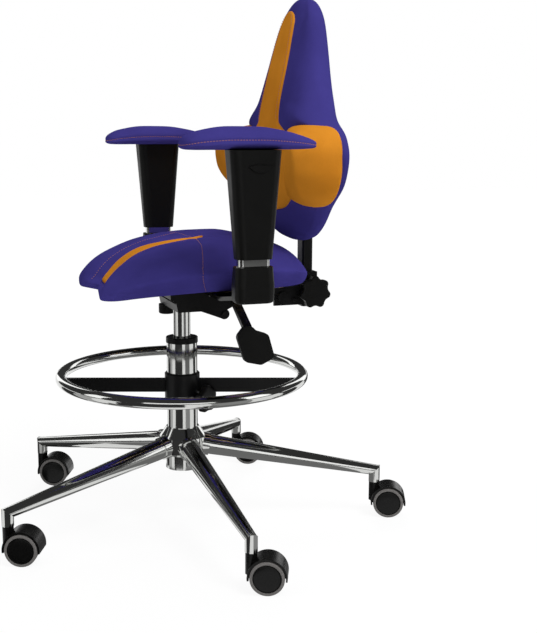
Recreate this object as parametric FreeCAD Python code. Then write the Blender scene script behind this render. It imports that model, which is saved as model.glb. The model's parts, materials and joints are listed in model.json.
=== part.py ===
import FreeCAD, Part
import math
import os

# Height-adjustable swivel chair with a foot ring, arm rests and a narrow backrest.
# Millimetres, +Z up, origin on the floor under the column axis, the sitter faces -Y.
V = FreeCAD.Vector
ORIGIN = V(0, 0, 0)
UP = V(0, 0, 1)

# Clearances
RUN_GAP = 0.05          # radial, a shaft turning or sliding in its bore
SLIDE_GAP = 0.3         # flat-sided telescopes and soft pieces beside their neighbours
FACE_GAP = 0.3          # faces of different bodies that pass each other

# Star base
LEG_COUNT = 5
BASE_TURN = 1.5         # degrees from +X to the first leg
STEM_CIRCLE_R = 320.0
LEG_ROOT_R = 17.0
LEG_TIP_R = 8.8
LEG_ROOT_Z = 127.0
LEG_TIP_Z = 76.5
SOCKET_R = 9.2
SOCKET_BOTTOM_Z = 57.0
HUB_BOTTOM_Z = 87.0
HUB_TOP_Z = 157.0
HUB_WALL = 3.0
HUB_LIP = 1.8
HUB_BODY_R = 38.0
HUB_BODY_HALF = 14.0
HUB_COLLAR_WALL = 2.0
HUB_COLLAR_REACH = 44.0

# Castors
CASTER_TURN = 66.4      # degrees, the way every castor trails
CASTER_TRAIL = 23.5
WHEEL_R = 25.0
WHEEL_WIDTH = 14.0
TYRE_DEPTH = 4.5
TYRE_ROUND = 1.8
WHEEL_CAP = 3.0
AXLE_R = 4.0
STEM_R = 5.0
STEM_GRIP = 21.0        # length of stem inside the leg's socket
STEM_ROOT = 24.0        # length of stem inside the hood
WEB_HALF = 6.0
WEB_GAP = 1.0
HOOD_WALL = 2.5
HOOD_GAP = 1.2
HOOD_HALF_WIDTH = 19.5
HOOD_DROP = 4.0         # how far the hood's lips reach below the axle
BOSS_R = 8.5
AXLE_BOSS_R = 11.0

# Column and gas lift
TUBE_R = 25.0
TUBE_WALL = 1.75
TUBE_TOP_Z = 297.5
TUBE_SEAT = 5.0         # tube's foot above the hub's underside
TUBE_FLOOR = 4.0
COLLAR_R = 26.0
COLLAR_HEIGHT = 9.2
COLLAR_ROUND = 1.5
BUSH_LENGTH = 62.0
CYLINDER_R = 14.0
CYLINDER_BOTTOM_Z = 190.0
CYLINDER_WALL = 2.5
CYLINDER_CAP = 12.0
TAPER_TOP_R = 13.0
TAPER_LENGTH = 35.0
ROD_R = 5.0
ROD_SHOULDER_R = 9.0
ROD_SHOULDER = 4.0
PISTON_Z = 270.0
PISTON_THICK = 10.0
BEARING_R = 12.0
BEARING_THICK = 5.0
CLIP_R = 9.0
CLIP_THICK = 1.6

# Foot ring
RING_R = 196.7
RING_TUBE_R = 8.75
RING_Z = 243.6
BAR_TURN = 71.3         # degrees from +X to the bar under the ring
BAR_THICK = 9.0
BAR_HEIGHT = 22.0
BAR_SINK = 1.6          # how deep the ring sits in the bar's ends
BAR_END_INSET = 1.5     # bar's ends inside the ring's own radius
BAR_END_SLANT = 16.0
LINER_WALL = 1.5
LINER_LIP = 2.0         # how far the liner stands out of both ends of the clamp
CLAMP_WALL = 2.0
CLAMP_BOTTOM_Z = 200.0
CLAMP_HEIGHT = 46.0
RING_KNOB_TURN = 39.0
RING_KNOB_Z = 208.0
RING_KNOB_R = 23.0
RING_KNOB_THICK = 12.0
RING_KNOB_LOBES = 5
CLAMP_BOSS_R = 7.5
CLAMP_BOSS_REACH = 41.0
KNOB_STUD_R = 4.0

# Mechanism under the seat
MECH_HALF_X = 55.0
MECH_FRONT_Y = -33.0
MECH_REAR_Y = 92.0
MECH_BOTTOM_Z = 355.0
MECH_TOP_Z = 392.0
MECH_WALL = 3.0
MECH_STEP_Z = 376.0
MECH_SOCKET_WALL = 5.0
FORK_HALF_X = 17.0
FORK_WALL = 4.0
FORK_REAR_Y = 180.0
FORK_HEIGHT = 28.0
SEAT_PLATE_X = 160.0
SEAT_PLATE_Y = 190.0
SEAT_PLATE_THICK = 5.0
SEAT_PLATE_MID_Y = 30.0
BOLT_R = 3.0
BOLT_HEAD_R = 5.5
BOLT_HEAD = 3.5
BOLT_SPACING_X = 136.0
BOLT_SPACING_Y = 150.0
LATCH_PIN_Y = 58.0
LATCH_PIN_Z = 347.5
LATCH_PIN_R = 5.0
LATCH_EYE_R = 8.5
LATCH_NOSE = 7.2        # lowest point of a link plate below its pin
LATCH_THICK = 4.0
LATCH_BLOCK = 8.0
TENSION_KNOB_X = -42.0
TENSION_KNOB_Y = -14.0
TENSION_KNOB_R = 13.0
TENSION_KNOB_HEIGHT = 16.0
TENSION_STUD_R = 4.0

# Levers
LEVER_Y = 56.0
LEVER_Z = 380.0
LEVER_ROD_R = 4.0
LEVER_REACH = 110.0     # where the tilt lever's rod ends, to the sitter's left
LIFT_REACH = 176.0
LIFT_GRIP_LENGTH = 62.0
LIFT_GRIP_WIDTH = 30.0
LIFT_GRIP_THICK = 8.0
LIFT_GRIP_BACK = 8.0    # middle of the grip behind the lever's axis
LIFT_GRIP_ROUND = 6.0
PADDLE_X = 226.0
PADDLE_THICK = 8.0
PADDLE_STEM_WIDTH = 13.0
PADDLE_STEM_DROP = 24.0
PADDLE_STEM_SWEEP = -21.0
PADDLE_ROUND = 9.0
# Paddle outline: Y from the lever's axis, Z from the foot of its stem
PADDLE_OUTLINE = [
    (-28, 3), (-16, 5), (-9, -2.5), (10, -9), (20, -44), (-1, -54), (-26, -48), (-38.5, -10),
]

# Hand knobs
KNOB_LOBE = 0.54        # radius of a knob's lobes, as a share of half their spacing
KNOB_NOTCH = 0.165      # depth of the notches between them, as a share of the knob's radius
KNOB_EDGE = 3.0

# Back support
PIVOT_Y = 166.0
PIVOT_Z = 366.0
PIVOT_R = 4.5
CHEEK_THICK = 5.0
CHEEK_FRONT_Y = 152.0
CHEEK_BOTTOM_Z = 352.0
CHEEK_TOP_Z = 383.0
BLOCK_HALF_X = 22.0
BLOCK_FRONT_Y = 200.0
BLOCK_REAR_Y = 228.0
BLOCK_TOP_Z = 406.0
UPRIGHT_X = 28.0
UPRIGHT_Y = 18.0
UPRIGHT_MID_Y = 214.5
UPRIGHT_ROUND = 4.0
UPRIGHT_BOTTOM_Z = 347.0
UPRIGHT_TOP_Z = 625.0
BACK_KNOB_Z = 375.5
BACK_KNOB_R = 27.0
BACK_KNOB_THICK = 15.0
BACK_KNOB_LOBES = 7
BACK_KNOB_X = 36.0      # inner face of the star knob
BACK_STUD_R = 4.0

# Backrest
BOARD_THICK = 10.0
BOARD_INSET = 26.0
STRIP_PROUD = 3.0
WING_ROOT_X = 79.0
WING_REAR_Y = 193.0

# Seat
PAN_THICK = 9.0
PAN_FRONT_Y = -85.0
PAN_REAR_Y = 150.0
PAN_HALF_X = 120.0
PAN_CORNER = 40.0
CHANNEL_SLOPE = 1.5     # how far each wall of the channel leans in
INLAY_THICK = 3.5
CHANNEL_LEFT = 1.0      # least depth that the inlay leaves of the channel
NOTCH_HALF_X = 74.0     # hollow of the front edge between the lobes
NOTCH_DEPTH = 20.0

# Arms
ARM_X = 262.0
ARM_Y = 30.5
STRAP_THICK = 6.0
STRAP_WIDTH = 44.0
STRAP_INNER_X = 95.0
STRAP_RAMP_X = 178.0    # where the strap starts to rise to the post
STRAP_OUTER_X = 236.0
POST_X = 18.0
POST_Y = 47.0
POST_ROUND = 7.0
POST_TOP_Z = 560.0
ARM_DROP = 10.0         # how far the sleeve can go down from where it is drawn
COVER_BOTTOM_Z = 400.0
COVER_TOP_Z = 451.0
COVER_WIDE_Z = 423.0
COVER_WIDE_X = 37.0
COVER_WIDE_Y = 58.5
COVER_TOP_X = 34.0
COVER_TOP_Y = 55.0
COVER_ROUND = 13.0
SLEEVE_BOTTOM_Z = 462.0
SLEEVE_TOP_Z = 612.0
SLEEVE_BOTTOM_X = 33.0
SLEEVE_BOTTOM_Y = 53.0
SLEEVE_TOP_X = 44.0
SLEEVE_TOP_Y = 75.0
SLEEVE_ROUND = 13.0
PAD_X = 74.0
PAD_Y = 197.0
PAD_INSET = 20.0        # pad's middle towards the sitter from the post
PAD_HEIGHT = 32.0
BUTTON_Y = 34.0
BUTTON_LENGTH = 34.0
BUTTON_RISE = 2.0       # crown of the half-moon button above its ends, and its belly below them
BUTTON_BELLY = 8.0
BUTTON_DEPTH = 8.0
BUTTON_PROUD = 1.5
BUTTON_TRAVEL = 3.0
BUTTON_Z = 590.0

# Heights that follow from the ones above
WHEEL_Z = WHEEL_R
MECH_PLATE_TOP_Z = MECH_TOP_Z + SEAT_PLATE_THICK
PAN_TOP_Z = MECH_PLATE_TOP_Z + PAN_THICK
STRAP_BOTTOM_Z = MECH_PLATE_TOP_Z - STRAP_THICK
BUTTON_FACE_X = ARM_X + SLEEVE_BOTTOM_X / 2 + (SLEEVE_TOP_X - SLEEVE_BOTTOM_X) / 2 * (
    BUTTON_Z - SLEEVE_BOTTOM_Z) / (SLEEVE_TOP_Z - SLEEVE_BOTTOM_Z)
CYLINDER_TOP_Z = MECH_BOTTOM_Z + TAPER_LENGTH
TUBE_BOTTOM_Z = HUB_BOTTOM_Z + TUBE_SEAT
TUBE_FLOOR_Z = TUBE_BOTTOM_Z + TUBE_FLOOR
TUBE_BORE_R = TUBE_R - TUBE_WALL
HUB_LOWER_R = TUBE_R + HUB_WALL
CYLINDER_BORE_R = CYLINDER_R - CYLINDER_WALL
LINER_R = TUBE_R + RUN_GAP + LINER_WALL
CLAMP_BORE_R = LINER_R + RUN_GAP
CLAMP_R = CLAMP_BORE_R + CLAMP_WALL


def box(x0, x1, y0, y1, z0, z1):
    return Part.makeBox(x1 - x0, y1 - y0, z1 - z0, V(x0, y0, z0))


def disc(r, z0, z1, x=0.0, y=0.0):
    return Part.makeCylinder(r, z1 - z0, V(x, y, z0))


def pin(r, start, end):
    return Part.makeCylinder(r, (end - start).Length, start, end - start)


def tube(outer, inner, z0, z1):
    return disc(outer, z0, z1).cut(disc(inner, z0, z1))


def fused(first, *others):
    return first.fuse(list(others)).removeSplitter()


def polar(r, degrees, z):
    a = math.radians(degrees)
    return V(r * math.cos(a), r * math.sin(a), z)


def polygon(points):
    return Part.makePolygon(list(points) + [points[0]])


def prism_x(outline, x0, x1):
    """Solid between two X planes from (y, z) corners."""
    face = Part.Face(polygon([V(x0, y, z) for y, z in outline]))
    return face.extrude(V(x1 - x0, 0, 0))


def lathe(outline):
    """Solid of revolution about Z from (radius, z) corners."""
    return Part.Face(polygon([V(r, 0, z) for r, z in outline])).revolve(ORIGIN, UP, 360)


def rounded_wire(mid_x, mid_y, size_x, size_y, corner, z):
    """Closed rectangle with round corners in a level plane."""
    hx = size_x / 2
    hy = size_y / 2
    r = min(corner, hx - 0.01, hy - 0.01)
    k = r * (1 - math.sqrt(0.5))
    lines = []
    corners = ((1, 1), (-1, 1), (-1, -1), (1, -1))
    for i, (sx, sy) in enumerate(corners):
        across = sx * sy > 0
        first = V(sx * hx, sy * (hy - r), 0) if across else V(sx * (hx - r), sy * hy, 0)
        middle = V(sx * (hx - k), sy * (hy - k), 0)
        last = V(sx * (hx - r), sy * hy, 0) if across else V(sx * hx, sy * (hy - r), 0)
        nx, ny = corners[(i + 1) % 4]
        after = V(nx * (hx - r), ny * hy, 0) if across else V(nx * hx, ny * (hy - r), 0)
        lines.append(Part.Arc(first, middle, last).toShape())
        lines.append(Part.LineSegment(last, after).toShape())
    wire = Part.Wire(lines)
    wire.translate(V(mid_x, mid_y, z))
    return wire


def rounded_block(mid_x, mid_y, size_x, size_y, corner, z0, z1):
    wire = rounded_wire(mid_x, mid_y, size_x, size_y, corner, z0)
    return Part.Face(wire).extrude(V(0, 0, z1 - z0))


def arc(a, b, c):
    return Part.Arc(a, b, c).toShape()


def line(a, b):
    return Part.LineSegment(a, b).toShape()


def star_knob(radius, thick, lobes):
    """Hand knob standing on the XY plane, one lobe towards -X: round lobes that run smoothly into notches."""
    step = 360.0 / lobes
    lobe_r = KNOB_LOBE * radius * math.pi / lobes
    lobe_at = radius - lobe_r
    floor_r = radius * (1 - KNOB_NOTCH)
    between = lobe_at * math.cos(math.pi / lobes)
    notch_r = (lobe_at ** 2 + floor_r ** 2 - lobe_r ** 2 - 2 * floor_r * between)
    notch_r /= 2 * (lobe_r + between - floor_r)

    def join(lobe, side):
        """Where a lobe's arc meets the arc of the notch on one side of it."""
        middle = polar(lobe_at, 180 + lobe * step, 0)
        notch = polar(floor_r + notch_r, 180 + (lobe + side / 2) * step, 0)
        return middle + (notch - middle) * (lobe_r / (lobe_r + notch_r))

    edges = []
    for i in range(lobes):
        edges.append(arc(join(i, -1), polar(radius, 180 + i * step, 0), join(i, 1)))
        edges.append(arc(join(i, 1), polar(floor_r, 180 + (i + 0.5) * step, 0), join(i + 1, -1)))
    knob = Part.Face(Part.Wire(edges)).extrude(V(0, 0, thick))
    rims = [e for e in knob.Edges if e.BoundBox.ZLength < thick / 2]
    return knob.makeFillet(min(KNOB_EDGE, thick / 4), rims)


def turned_out(shape, degrees, reach, z):
    """Lay a shape that stands on the XY plane out along a radius of the column."""
    shape.rotate(ORIGIN, V(0, 1, 0), 90)
    shape.translate(V(reach, 0, z))
    shape.rotate(ORIGIN, UP, degrees)
    return shape


def leg_cone(degrees, grow=0.0, reach=STEM_CIRCLE_R):
    start = polar(HUB_LOWER_R, degrees, LEG_ROOT_Z)
    end = polar(STEM_CIRCLE_R, degrees, LEG_TIP_Z)
    share = (reach - HUB_LOWER_R) / (STEM_CIRCLE_R - HUB_LOWER_R)
    r_end = LEG_ROOT_R + (LEG_TIP_R - LEG_ROOT_R) * share
    along = (end - start) * share
    return Part.makeCone(LEG_ROOT_R + grow, r_end + grow, along.Length, start, along)


def star_base():
    angles = [BASE_TURN + 360.0 * i / LEG_COUNT for i in range(LEG_COUNT)]
    legs = []
    for degrees in angles:
        at = polar(STEM_CIRCLE_R, degrees, 0)
        corner = polar(STEM_CIRCLE_R, degrees, LEG_TIP_Z)
        along = corner - polar(HUB_LOWER_R, degrees, LEG_ROOT_Z)
        across = UP - along.normalize()
        beyond = 4 * SOCKET_R
        tube_end = leg_cone(degrees, 0, STEM_CIRCLE_R + 2 * SOCKET_R)
        tube_end = tube_end.cut(Part.makeCylinder(beyond, beyond, corner, -across))
        socket = disc(SOCKET_R, SOCKET_BOTTOM_Z, LEG_TIP_Z + beyond, at.x, at.y)
        socket = socket.cut(Part.makeCylinder(beyond, 2 * beyond, corner, across))
        leg = fused(tube_end, socket)
        bore_top = SOCKET_BOTTOM_Z + STEM_GRIP + FACE_GAP
        leg = leg.cut(disc(STEM_R + RUN_GAP, SOCKET_BOTTOM_Z, bore_top, at.x, at.y))
        legs.append(leg)
    low = LEG_ROOT_Z - HUB_BODY_HALF
    high = LEG_ROOT_Z + HUB_BODY_HALF
    hub = lathe([
        (0, HUB_BOTTOM_Z), (HUB_LOWER_R, HUB_BOTTOM_Z), (HUB_LOWER_R, low - HUB_WALL),
        (HUB_BODY_R, low + HUB_WALL), (HUB_BODY_R, high), (TUBE_R + HUB_LIP, HUB_TOP_Z), (0, HUB_TOP_Z),
    ])
    collars = [leg_cone(a, HUB_COLLAR_WALL, HUB_COLLAR_REACH) for a in angles]
    hub = fused(hub, *collars).cut(disc(TUBE_R, HUB_BOTTOM_Z, HUB_TOP_Z + 2 * LEG_ROOT_R))
    for degrees in angles:
        hub = hub.cut(leg_cone(degrees))
    return {"base_hub": hub, "base_legs": Part.makeCompound(legs)}


def column():
    outer = disc(TUBE_R, TUBE_BOTTOM_Z, TUBE_TOP_Z)
    bore = disc(TUBE_BORE_R, TUBE_FLOOR_Z, TUBE_TOP_Z)
    rod_hole = disc(ROD_R + RUN_GAP, TUBE_BOTTOM_Z, TUBE_FLOOR_Z)
    collar_top = TUBE_TOP_Z + COLLAR_HEIGHT
    collar = disc(COLLAR_R, TUBE_TOP_Z, collar_top)
    rim = [e for e in collar.Edges if abs(e.BoundBox.ZMin - collar_top) < 0.01]
    collar = collar.makeFillet(COLLAR_ROUND, rim)
    bush = fused(collar, disc(TUBE_BORE_R, TUBE_TOP_Z - BUSH_LENGTH, TUBE_TOP_Z))
    bush = bush.cut(disc(CYLINDER_R + RUN_GAP, TUBE_TOP_Z - BUSH_LENGTH, collar_top))
    bearing_top = TUBE_FLOOR_Z + BEARING_THICK
    bearing = tube(BEARING_R, ROD_R + RUN_GAP, TUBE_FLOOR_Z, bearing_top)
    clip_top = TUBE_BOTTOM_Z - FACE_GAP
    rod_bottom = clip_top - 2 * CLIP_THICK
    rod = fused(
        disc(ROD_R, rod_bottom, PISTON_Z),
        disc(ROD_SHOULDER_R, bearing_top, bearing_top + ROD_SHOULDER),
        disc(CYLINDER_BORE_R - RUN_GAP, PISTON_Z, PISTON_Z + PISTON_THICK),
    )
    clip = tube(CLIP_R, ROD_R, clip_top - CLIP_THICK, clip_top)
    cylinder = fused(
        disc(CYLINDER_R, CYLINDER_BOTTOM_Z, MECH_BOTTOM_Z),
        Part.makeCone(CYLINDER_R, TAPER_TOP_R, TAPER_LENGTH, V(0, 0, MECH_BOTTOM_Z)),
    )
    cavity_bottom = CYLINDER_BOTTOM_Z + CYLINDER_CAP
    cylinder = cylinder.cut(disc(CYLINDER_BORE_R, cavity_bottom, MECH_BOTTOM_Z - CYLINDER_CAP))
    cylinder = cylinder.cut(disc(ROD_R + RUN_GAP, CYLINDER_BOTTOM_Z, cavity_bottom))
    return {
        "column_tube": outer.cut(bore).cut(rod_hole),
        "column_bushes": Part.makeCompound([bush, bearing]),
        "piston_rod": Part.makeCompound([rod, clip]),
        "gas_cylinder": cylinder,
    }


def wheel(side):
    """Tyre and core of one wheel, about the Y axis, on the given side of the hood's web."""
    inner = WEB_HALF + WEB_GAP
    outer = inner + WHEEL_WIDTH
    rim_r = WHEEL_R - TYRE_DEPTH

    def round_y(r, y0, y1):
        return Part.makeCylinder(r, y1 - y0, V(0, y0, 0), V(0, 1, 0))

    tyre = round_y(WHEEL_R, inner, outer)
    tyre = tyre.makeFillet(TYRE_ROUND, [e for e in tyre.Edges if len(e.Vertexes) == 1])
    tyre = tyre.cut(round_y(rim_r, inner, outer))
    core = round_y(rim_r, inner, outer - TYRE_ROUND)
    core = core.cut(round_y(AXLE_R + RUN_GAP, inner, outer - TYRE_ROUND - WHEEL_CAP))
    both = Part.makeCompound([tyre, core])
    if side < 0:
        both.rotate(ORIGIN, UP, 180)
    both.translate(V(CASTER_TRAIL, 0, WHEEL_Z))
    return both


def caster_hood():
    axle = V(CASTER_TRAIL, 0, WHEEL_Z)

    def round_y(r, half):
        return Part.makeCylinder(r, 2 * half, axle - V(0, half, 0), V(0, 1, 0))

    space_r = WHEEL_R + HOOD_GAP
    hood_r = space_r + HOOD_WALL
    upper = box(-hood_r, CASTER_TRAIL + hood_r, -HOOD_HALF_WIDTH, HOOD_HALF_WIDTH,
                WHEEL_Z - HOOD_DROP, WHEEL_Z + hood_r)
    hood = round_y(hood_r, HOOD_HALF_WIDTH).common(upper)
    boss = disc(BOSS_R, WHEEL_Z, SOCKET_BOTTOM_Z - FACE_GAP)
    hood = fused(hood, boss, round_y(AXLE_BOSS_R, WEB_HALF))
    for side in (-1, 1):
        mid = V(CASTER_TRAIL, side * WEB_HALF, WHEEL_Z)
        hood = hood.cut(Part.makeCylinder(space_r, 2 * HOOD_HALF_WIDTH, mid, V(0, side, 0)))
    stem_bottom = SOCKET_BOTTOM_Z - STEM_ROOT
    stem = disc(STEM_R, stem_bottom, SOCKET_BOTTOM_Z + STEM_GRIP)
    axle_half = WEB_HALF + WEB_GAP + WHEEL_WIDTH - TYRE_ROUND - WHEEL_CAP - FACE_GAP
    rod = round_y(AXLE_R, axle_half)
    return hood.cut(stem).cut(rod), Part.makeCompound([stem, rod])


def casters():
    nodes = {}
    for i in range(LEG_COUNT):
        hood, pins = caster_hood()
        made = {"hood": hood, "pins": pins, "wheel_a": wheel(-1), "wheel_b": wheel(1)}
        at = polar(STEM_CIRCLE_R, BASE_TURN + 360.0 * i / LEG_COUNT, 0)
        for name, shape in made.items():
            shape.rotate(ORIGIN, UP, CASTER_TURN)
            shape.translate(at)
            nodes["caster_%s_%d" % (name, i + 1)] = shape
    return nodes


def foot_ring():
    ring = Part.makeTorus(RING_R, RING_TUBE_R, V(0, 0, RING_Z))
    bar_top = RING_Z - RING_TUBE_R + BAR_SINK
    half = BAR_THICK / 2
    reach = RING_R - BAR_END_INSET
    bar_bottom = bar_top - BAR_HEIGHT
    bar = prism_x([(-reach, bar_top), (reach, bar_top), (reach - BAR_END_SLANT, bar_bottom),
                   (BAR_END_SLANT - reach, bar_bottom)], -half, half)
    bar.rotate(ORIGIN, UP, BAR_TURN - 90)
    bar = bar.cut(ring).cut(disc(CLAMP_R, bar_bottom, bar_top))
    clamp_top = CLAMP_BOTTOM_Z + CLAMP_HEIGHT
    boss_end = polar(CLAMP_BOSS_REACH, RING_KNOB_TURN, RING_KNOB_Z)
    boss = pin(CLAMP_BOSS_R, polar(TUBE_R, RING_KNOB_TURN, RING_KNOB_Z), boss_end)
    stud_hole = pin(KNOB_STUD_R + RUN_GAP, V(0, 0, RING_KNOB_Z), boss_end)
    clamp = fused(disc(CLAMP_R, CLAMP_BOTTOM_Z, clamp_top), boss)
    clamp = clamp.cut(disc(CLAMP_BORE_R, CLAMP_BOTTOM_Z, clamp_top)).cut(stud_hole)
    liner = tube(LINER_R, TUBE_R + RUN_GAP, CLAMP_BOTTOM_Z - LINER_LIP, clamp_top + LINER_LIP)
    stud_length = CLAMP_BOSS_REACH + FACE_GAP - CLAMP_R + CLAMP_WALL / 2
    knob = star_knob(RING_KNOB_R, RING_KNOB_THICK, RING_KNOB_LOBES)
    knob = fused(knob, disc(KNOB_STUD_R, -stud_length, RING_KNOB_THICK / 2))
    knob = turned_out(knob, RING_KNOB_TURN, CLAMP_BOSS_REACH + FACE_GAP, RING_KNOB_Z)
    return {
        "foot_ring": ring,
        "foot_ring_bar": bar,
        "foot_ring_clamp": clamp,
        "foot_ring_liner": liner,
        "foot_ring_knob": knob,
    }


def mechanism():
    outline = [
        (MECH_FRONT_Y, MECH_TOP_Z), (MECH_FRONT_Y, MECH_STEP_Z),
        (MECH_FRONT_Y + 3 * MECH_WALL, MECH_STEP_Z - 2 * MECH_WALL),
        (MECH_FRONT_Y + 4 * MECH_WALL, MECH_BOTTOM_Z), (LATCH_PIN_Y, MECH_BOTTOM_Z),
        (MECH_REAR_Y, MECH_STEP_Z - 2 * MECH_WALL), (MECH_REAR_Y, MECH_TOP_Z),
    ]
    shell = prism_x(outline, -MECH_HALF_X, MECH_HALF_X)
    high = MECH_TOP_Z - MECH_WALL
    low = high - FORK_HEIGHT
    fork = box(-FORK_HALF_X, FORK_HALF_X, MECH_REAR_Y - MECH_WALL, FORK_REAR_Y, low, high)
    inner = [
        (MECH_FRONT_Y + MECH_WALL, MECH_TOP_Z), (MECH_FRONT_Y + MECH_WALL, MECH_STEP_Z + MECH_WALL),
        (MECH_FRONT_Y + 5 * MECH_WALL, MECH_BOTTOM_Z + MECH_WALL),
        (LATCH_PIN_Y, MECH_BOTTOM_Z + MECH_WALL), (MECH_REAR_Y - MECH_WALL, MECH_STEP_Z),
        (MECH_REAR_Y - MECH_WALL, MECH_TOP_Z),
    ]
    tub = shell.cut(prism_x(inner, MECH_WALL - MECH_HALF_X, MECH_HALF_X - MECH_WALL))
    socket = disc(CYLINDER_R + MECH_SOCKET_WALL, MECH_BOTTOM_Z, MECH_TOP_Z)
    hollow = box(FORK_WALL - FORK_HALF_X, FORK_HALF_X - FORK_WALL, MECH_REAR_Y,
                 FORK_REAR_Y, low + FORK_WALL, high)
    tub = fused(tub, socket, fork.cut(hollow))
    taper = Part.makeCone(CYLINDER_R, TAPER_TOP_R, TAPER_LENGTH, V(0, 0, MECH_BOTTOM_Z))
    above = disc(TAPER_TOP_R, CYLINDER_TOP_Z, MECH_TOP_Z)
    pivot = pin(PIVOT_R, V(-MECH_HALF_X, PIVOT_Y, PIVOT_Z), V(MECH_HALF_X, PIVOT_Y, PIVOT_Z))
    rods = pin(LEVER_ROD_R + RUN_GAP, V(-MECH_HALF_X, LEVER_Y, LEVER_Z), V(MECH_HALF_X, LEVER_Y, LEVER_Z))
    stud = disc(TENSION_STUD_R + RUN_GAP, MECH_BOTTOM_Z, MECH_BOTTOM_Z + MECH_WALL,
                TENSION_KNOB_X, TENSION_KNOB_Y)
    tub = tub.cut(taper).cut(above).cut(pivot).cut(rods).cut(stud)
    plate = rounded_block(0, SEAT_PLATE_MID_Y, SEAT_PLATE_X, SEAT_PLATE_Y, 2 * BOLT_HEAD_R,
                          MECH_TOP_Z, MECH_PLATE_TOP_Z)
    for x, y in bolt_places():
        plate = plate.cut(disc(BOLT_R, MECH_TOP_Z, MECH_PLATE_TOP_Z, x, y))
    knob_top = MECH_BOTTOM_Z - FACE_GAP
    tension = disc(TENSION_KNOB_R, knob_top - TENSION_KNOB_HEIGHT, knob_top)
    bottom = [e for e in tension.Edges if abs(e.BoundBox.ZMax - knob_top + TENSION_KNOB_HEIGHT) < 0.01]
    tension = tension.makeFillet(TENSION_KNOB_R / 4, bottom)
    stud_top = MECH_BOTTOM_Z + 2 * MECH_WALL
    tension = fused(tension, disc(TENSION_STUD_R, knob_top - TENSION_KNOB_HEIGHT / 2, stud_top))
    tension.translate(V(TENSION_KNOB_X, TENSION_KNOB_Y, 0))
    return {
        "mechanism_housing": tub,
        "seat_plate": plate,
        "tension_knob": tension,
        "tilt_latch": tilt_latch(),
        "pivot_pin": pivot_pin(),
    }


def tilt_latch():
    """Two link plates and their cross pin below the rear of the housing."""
    solids = []
    for side in (-1, 1):
        x0 = side * (MECH_HALF_X - LATCH_BLOCK - LATCH_THICK)
        x1 = x0 + side * LATCH_THICK
        x0, x1 = min(x0, x1), max(x0, x1)
        eye = pin(LATCH_EYE_R, V(x0, LATCH_PIN_Y, LATCH_PIN_Z), V(x1, LATCH_PIN_Y, LATCH_PIN_Z))
        strap = prism_x([
            (LATCH_PIN_Y - 5 * LATCH_EYE_R, MECH_BOTTOM_Z),
            (LATCH_PIN_Y - LATCH_EYE_R / 2, LATCH_PIN_Z - LATCH_NOSE),
            (LATCH_PIN_Y + LATCH_EYE_R, LATCH_PIN_Z), (LATCH_PIN_Y + LATCH_EYE_R / 2, MECH_BOTTOM_Z),
        ], x0, x1)
        plate = fused(strap, eye.common(box(x0, x1, -STEM_CIRCLE_R, STEM_CIRCLE_R, 0, MECH_BOTTOM_Z)))
        reach = pin(LATCH_PIN_R, V(x0, LATCH_PIN_Y, LATCH_PIN_Z), V(x1, LATCH_PIN_Y, LATCH_PIN_Z))
        solids.append(plate.cut(reach))
    half = MECH_HALF_X - LATCH_BLOCK + LATCH_THICK
    solids.append(pin(LATCH_PIN_R, V(-half, LATCH_PIN_Y, LATCH_PIN_Z), V(half, LATCH_PIN_Y, LATCH_PIN_Z)))
    return Part.makeCompound(solids)


def pivot_pin():
    """Bolt through the fork, with a head and a nut outside the cheeks."""
    outside = FORK_HALF_X + FACE_GAP + CHEEK_THICK + FACE_GAP
    solid = pin(PIVOT_R, V(-outside, PIVOT_Y, PIVOT_Z), V(outside, PIVOT_Y, PIVOT_Z))
    heads = []
    for side in (-1, 1):
        inner = V(side * outside, PIVOT_Y, PIVOT_Z)
        heads.append(pin(2 * PIVOT_R, inner, inner + V(side * PIVOT_R, 0, 0)))
    return fused(solid, *heads)


def bolt_places():
    return [(sx * BOLT_SPACING_X / 2, SEAT_PLATE_MID_Y + sy * BOLT_SPACING_Y / 2)
            for sx in (-1, 1) for sy in (-1, 1)]


def strap_bolt_places():
    inner = STRAP_INNER_X + STRAP_WIDTH / 4
    return [(s * inner, ARM_Y + t * STRAP_WIDTH / 4) for s in (-1, 1) for t in (-1, 1)]


def levers():
    start = V(MECH_HALF_X - 4 * MECH_WALL, LEVER_Y, LEVER_Z)
    rod = pin(LEVER_ROD_R, start, V(LEVER_REACH, LEVER_Y, LEVER_Z))
    eye_x = LEVER_REACH - PADDLE_THICK
    eye = pin(PADDLE_STEM_WIDTH / 2, V(eye_x, LEVER_Y, LEVER_Z), V(LEVER_REACH, LEVER_Y, LEVER_Z))
    low_z = LEVER_Z - PADDLE_STEM_DROP
    stem = Part.makeLoft([
        polygon(stem_section(eye_x, LEVER_Y, LEVER_Z)),
        polygon(stem_section(PADDLE_X, LEVER_Y + PADDLE_STEM_SWEEP, low_z)),
    ], True, True)
    paddle_outline = [(LEVER_Y + y, low_z + z) for y, z in PADDLE_OUTLINE]
    paddle = prism_x(paddle_outline, PADDLE_X - PADDLE_THICK / 2, PADDLE_X + PADDLE_THICK / 2)
    corners = [e for e in paddle.Edges if e.BoundBox.XLength > PADDLE_THICK / 2]
    paddle = paddle.makeFillet(PADDLE_ROUND, corners)
    tilt = fused(rod, eye, stem, paddle)
    lift = pin(LEVER_ROD_R, V(-start.x, LEVER_Y, LEVER_Z), V(-LIFT_REACH, LEVER_Y, LEVER_Z))
    grip = rounded_block(LIFT_GRIP_LENGTH / 2 - LIFT_REACH, LEVER_Y + LIFT_GRIP_BACK, LIFT_GRIP_LENGTH,
                         LIFT_GRIP_WIDTH, LIFT_GRIP_ROUND,
                         LEVER_Z - LIFT_GRIP_THICK / 2, LEVER_Z + LIFT_GRIP_THICK / 2)
    return {"tilt_lever": tilt, "lift_lever": fused(lift, grip)}


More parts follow.
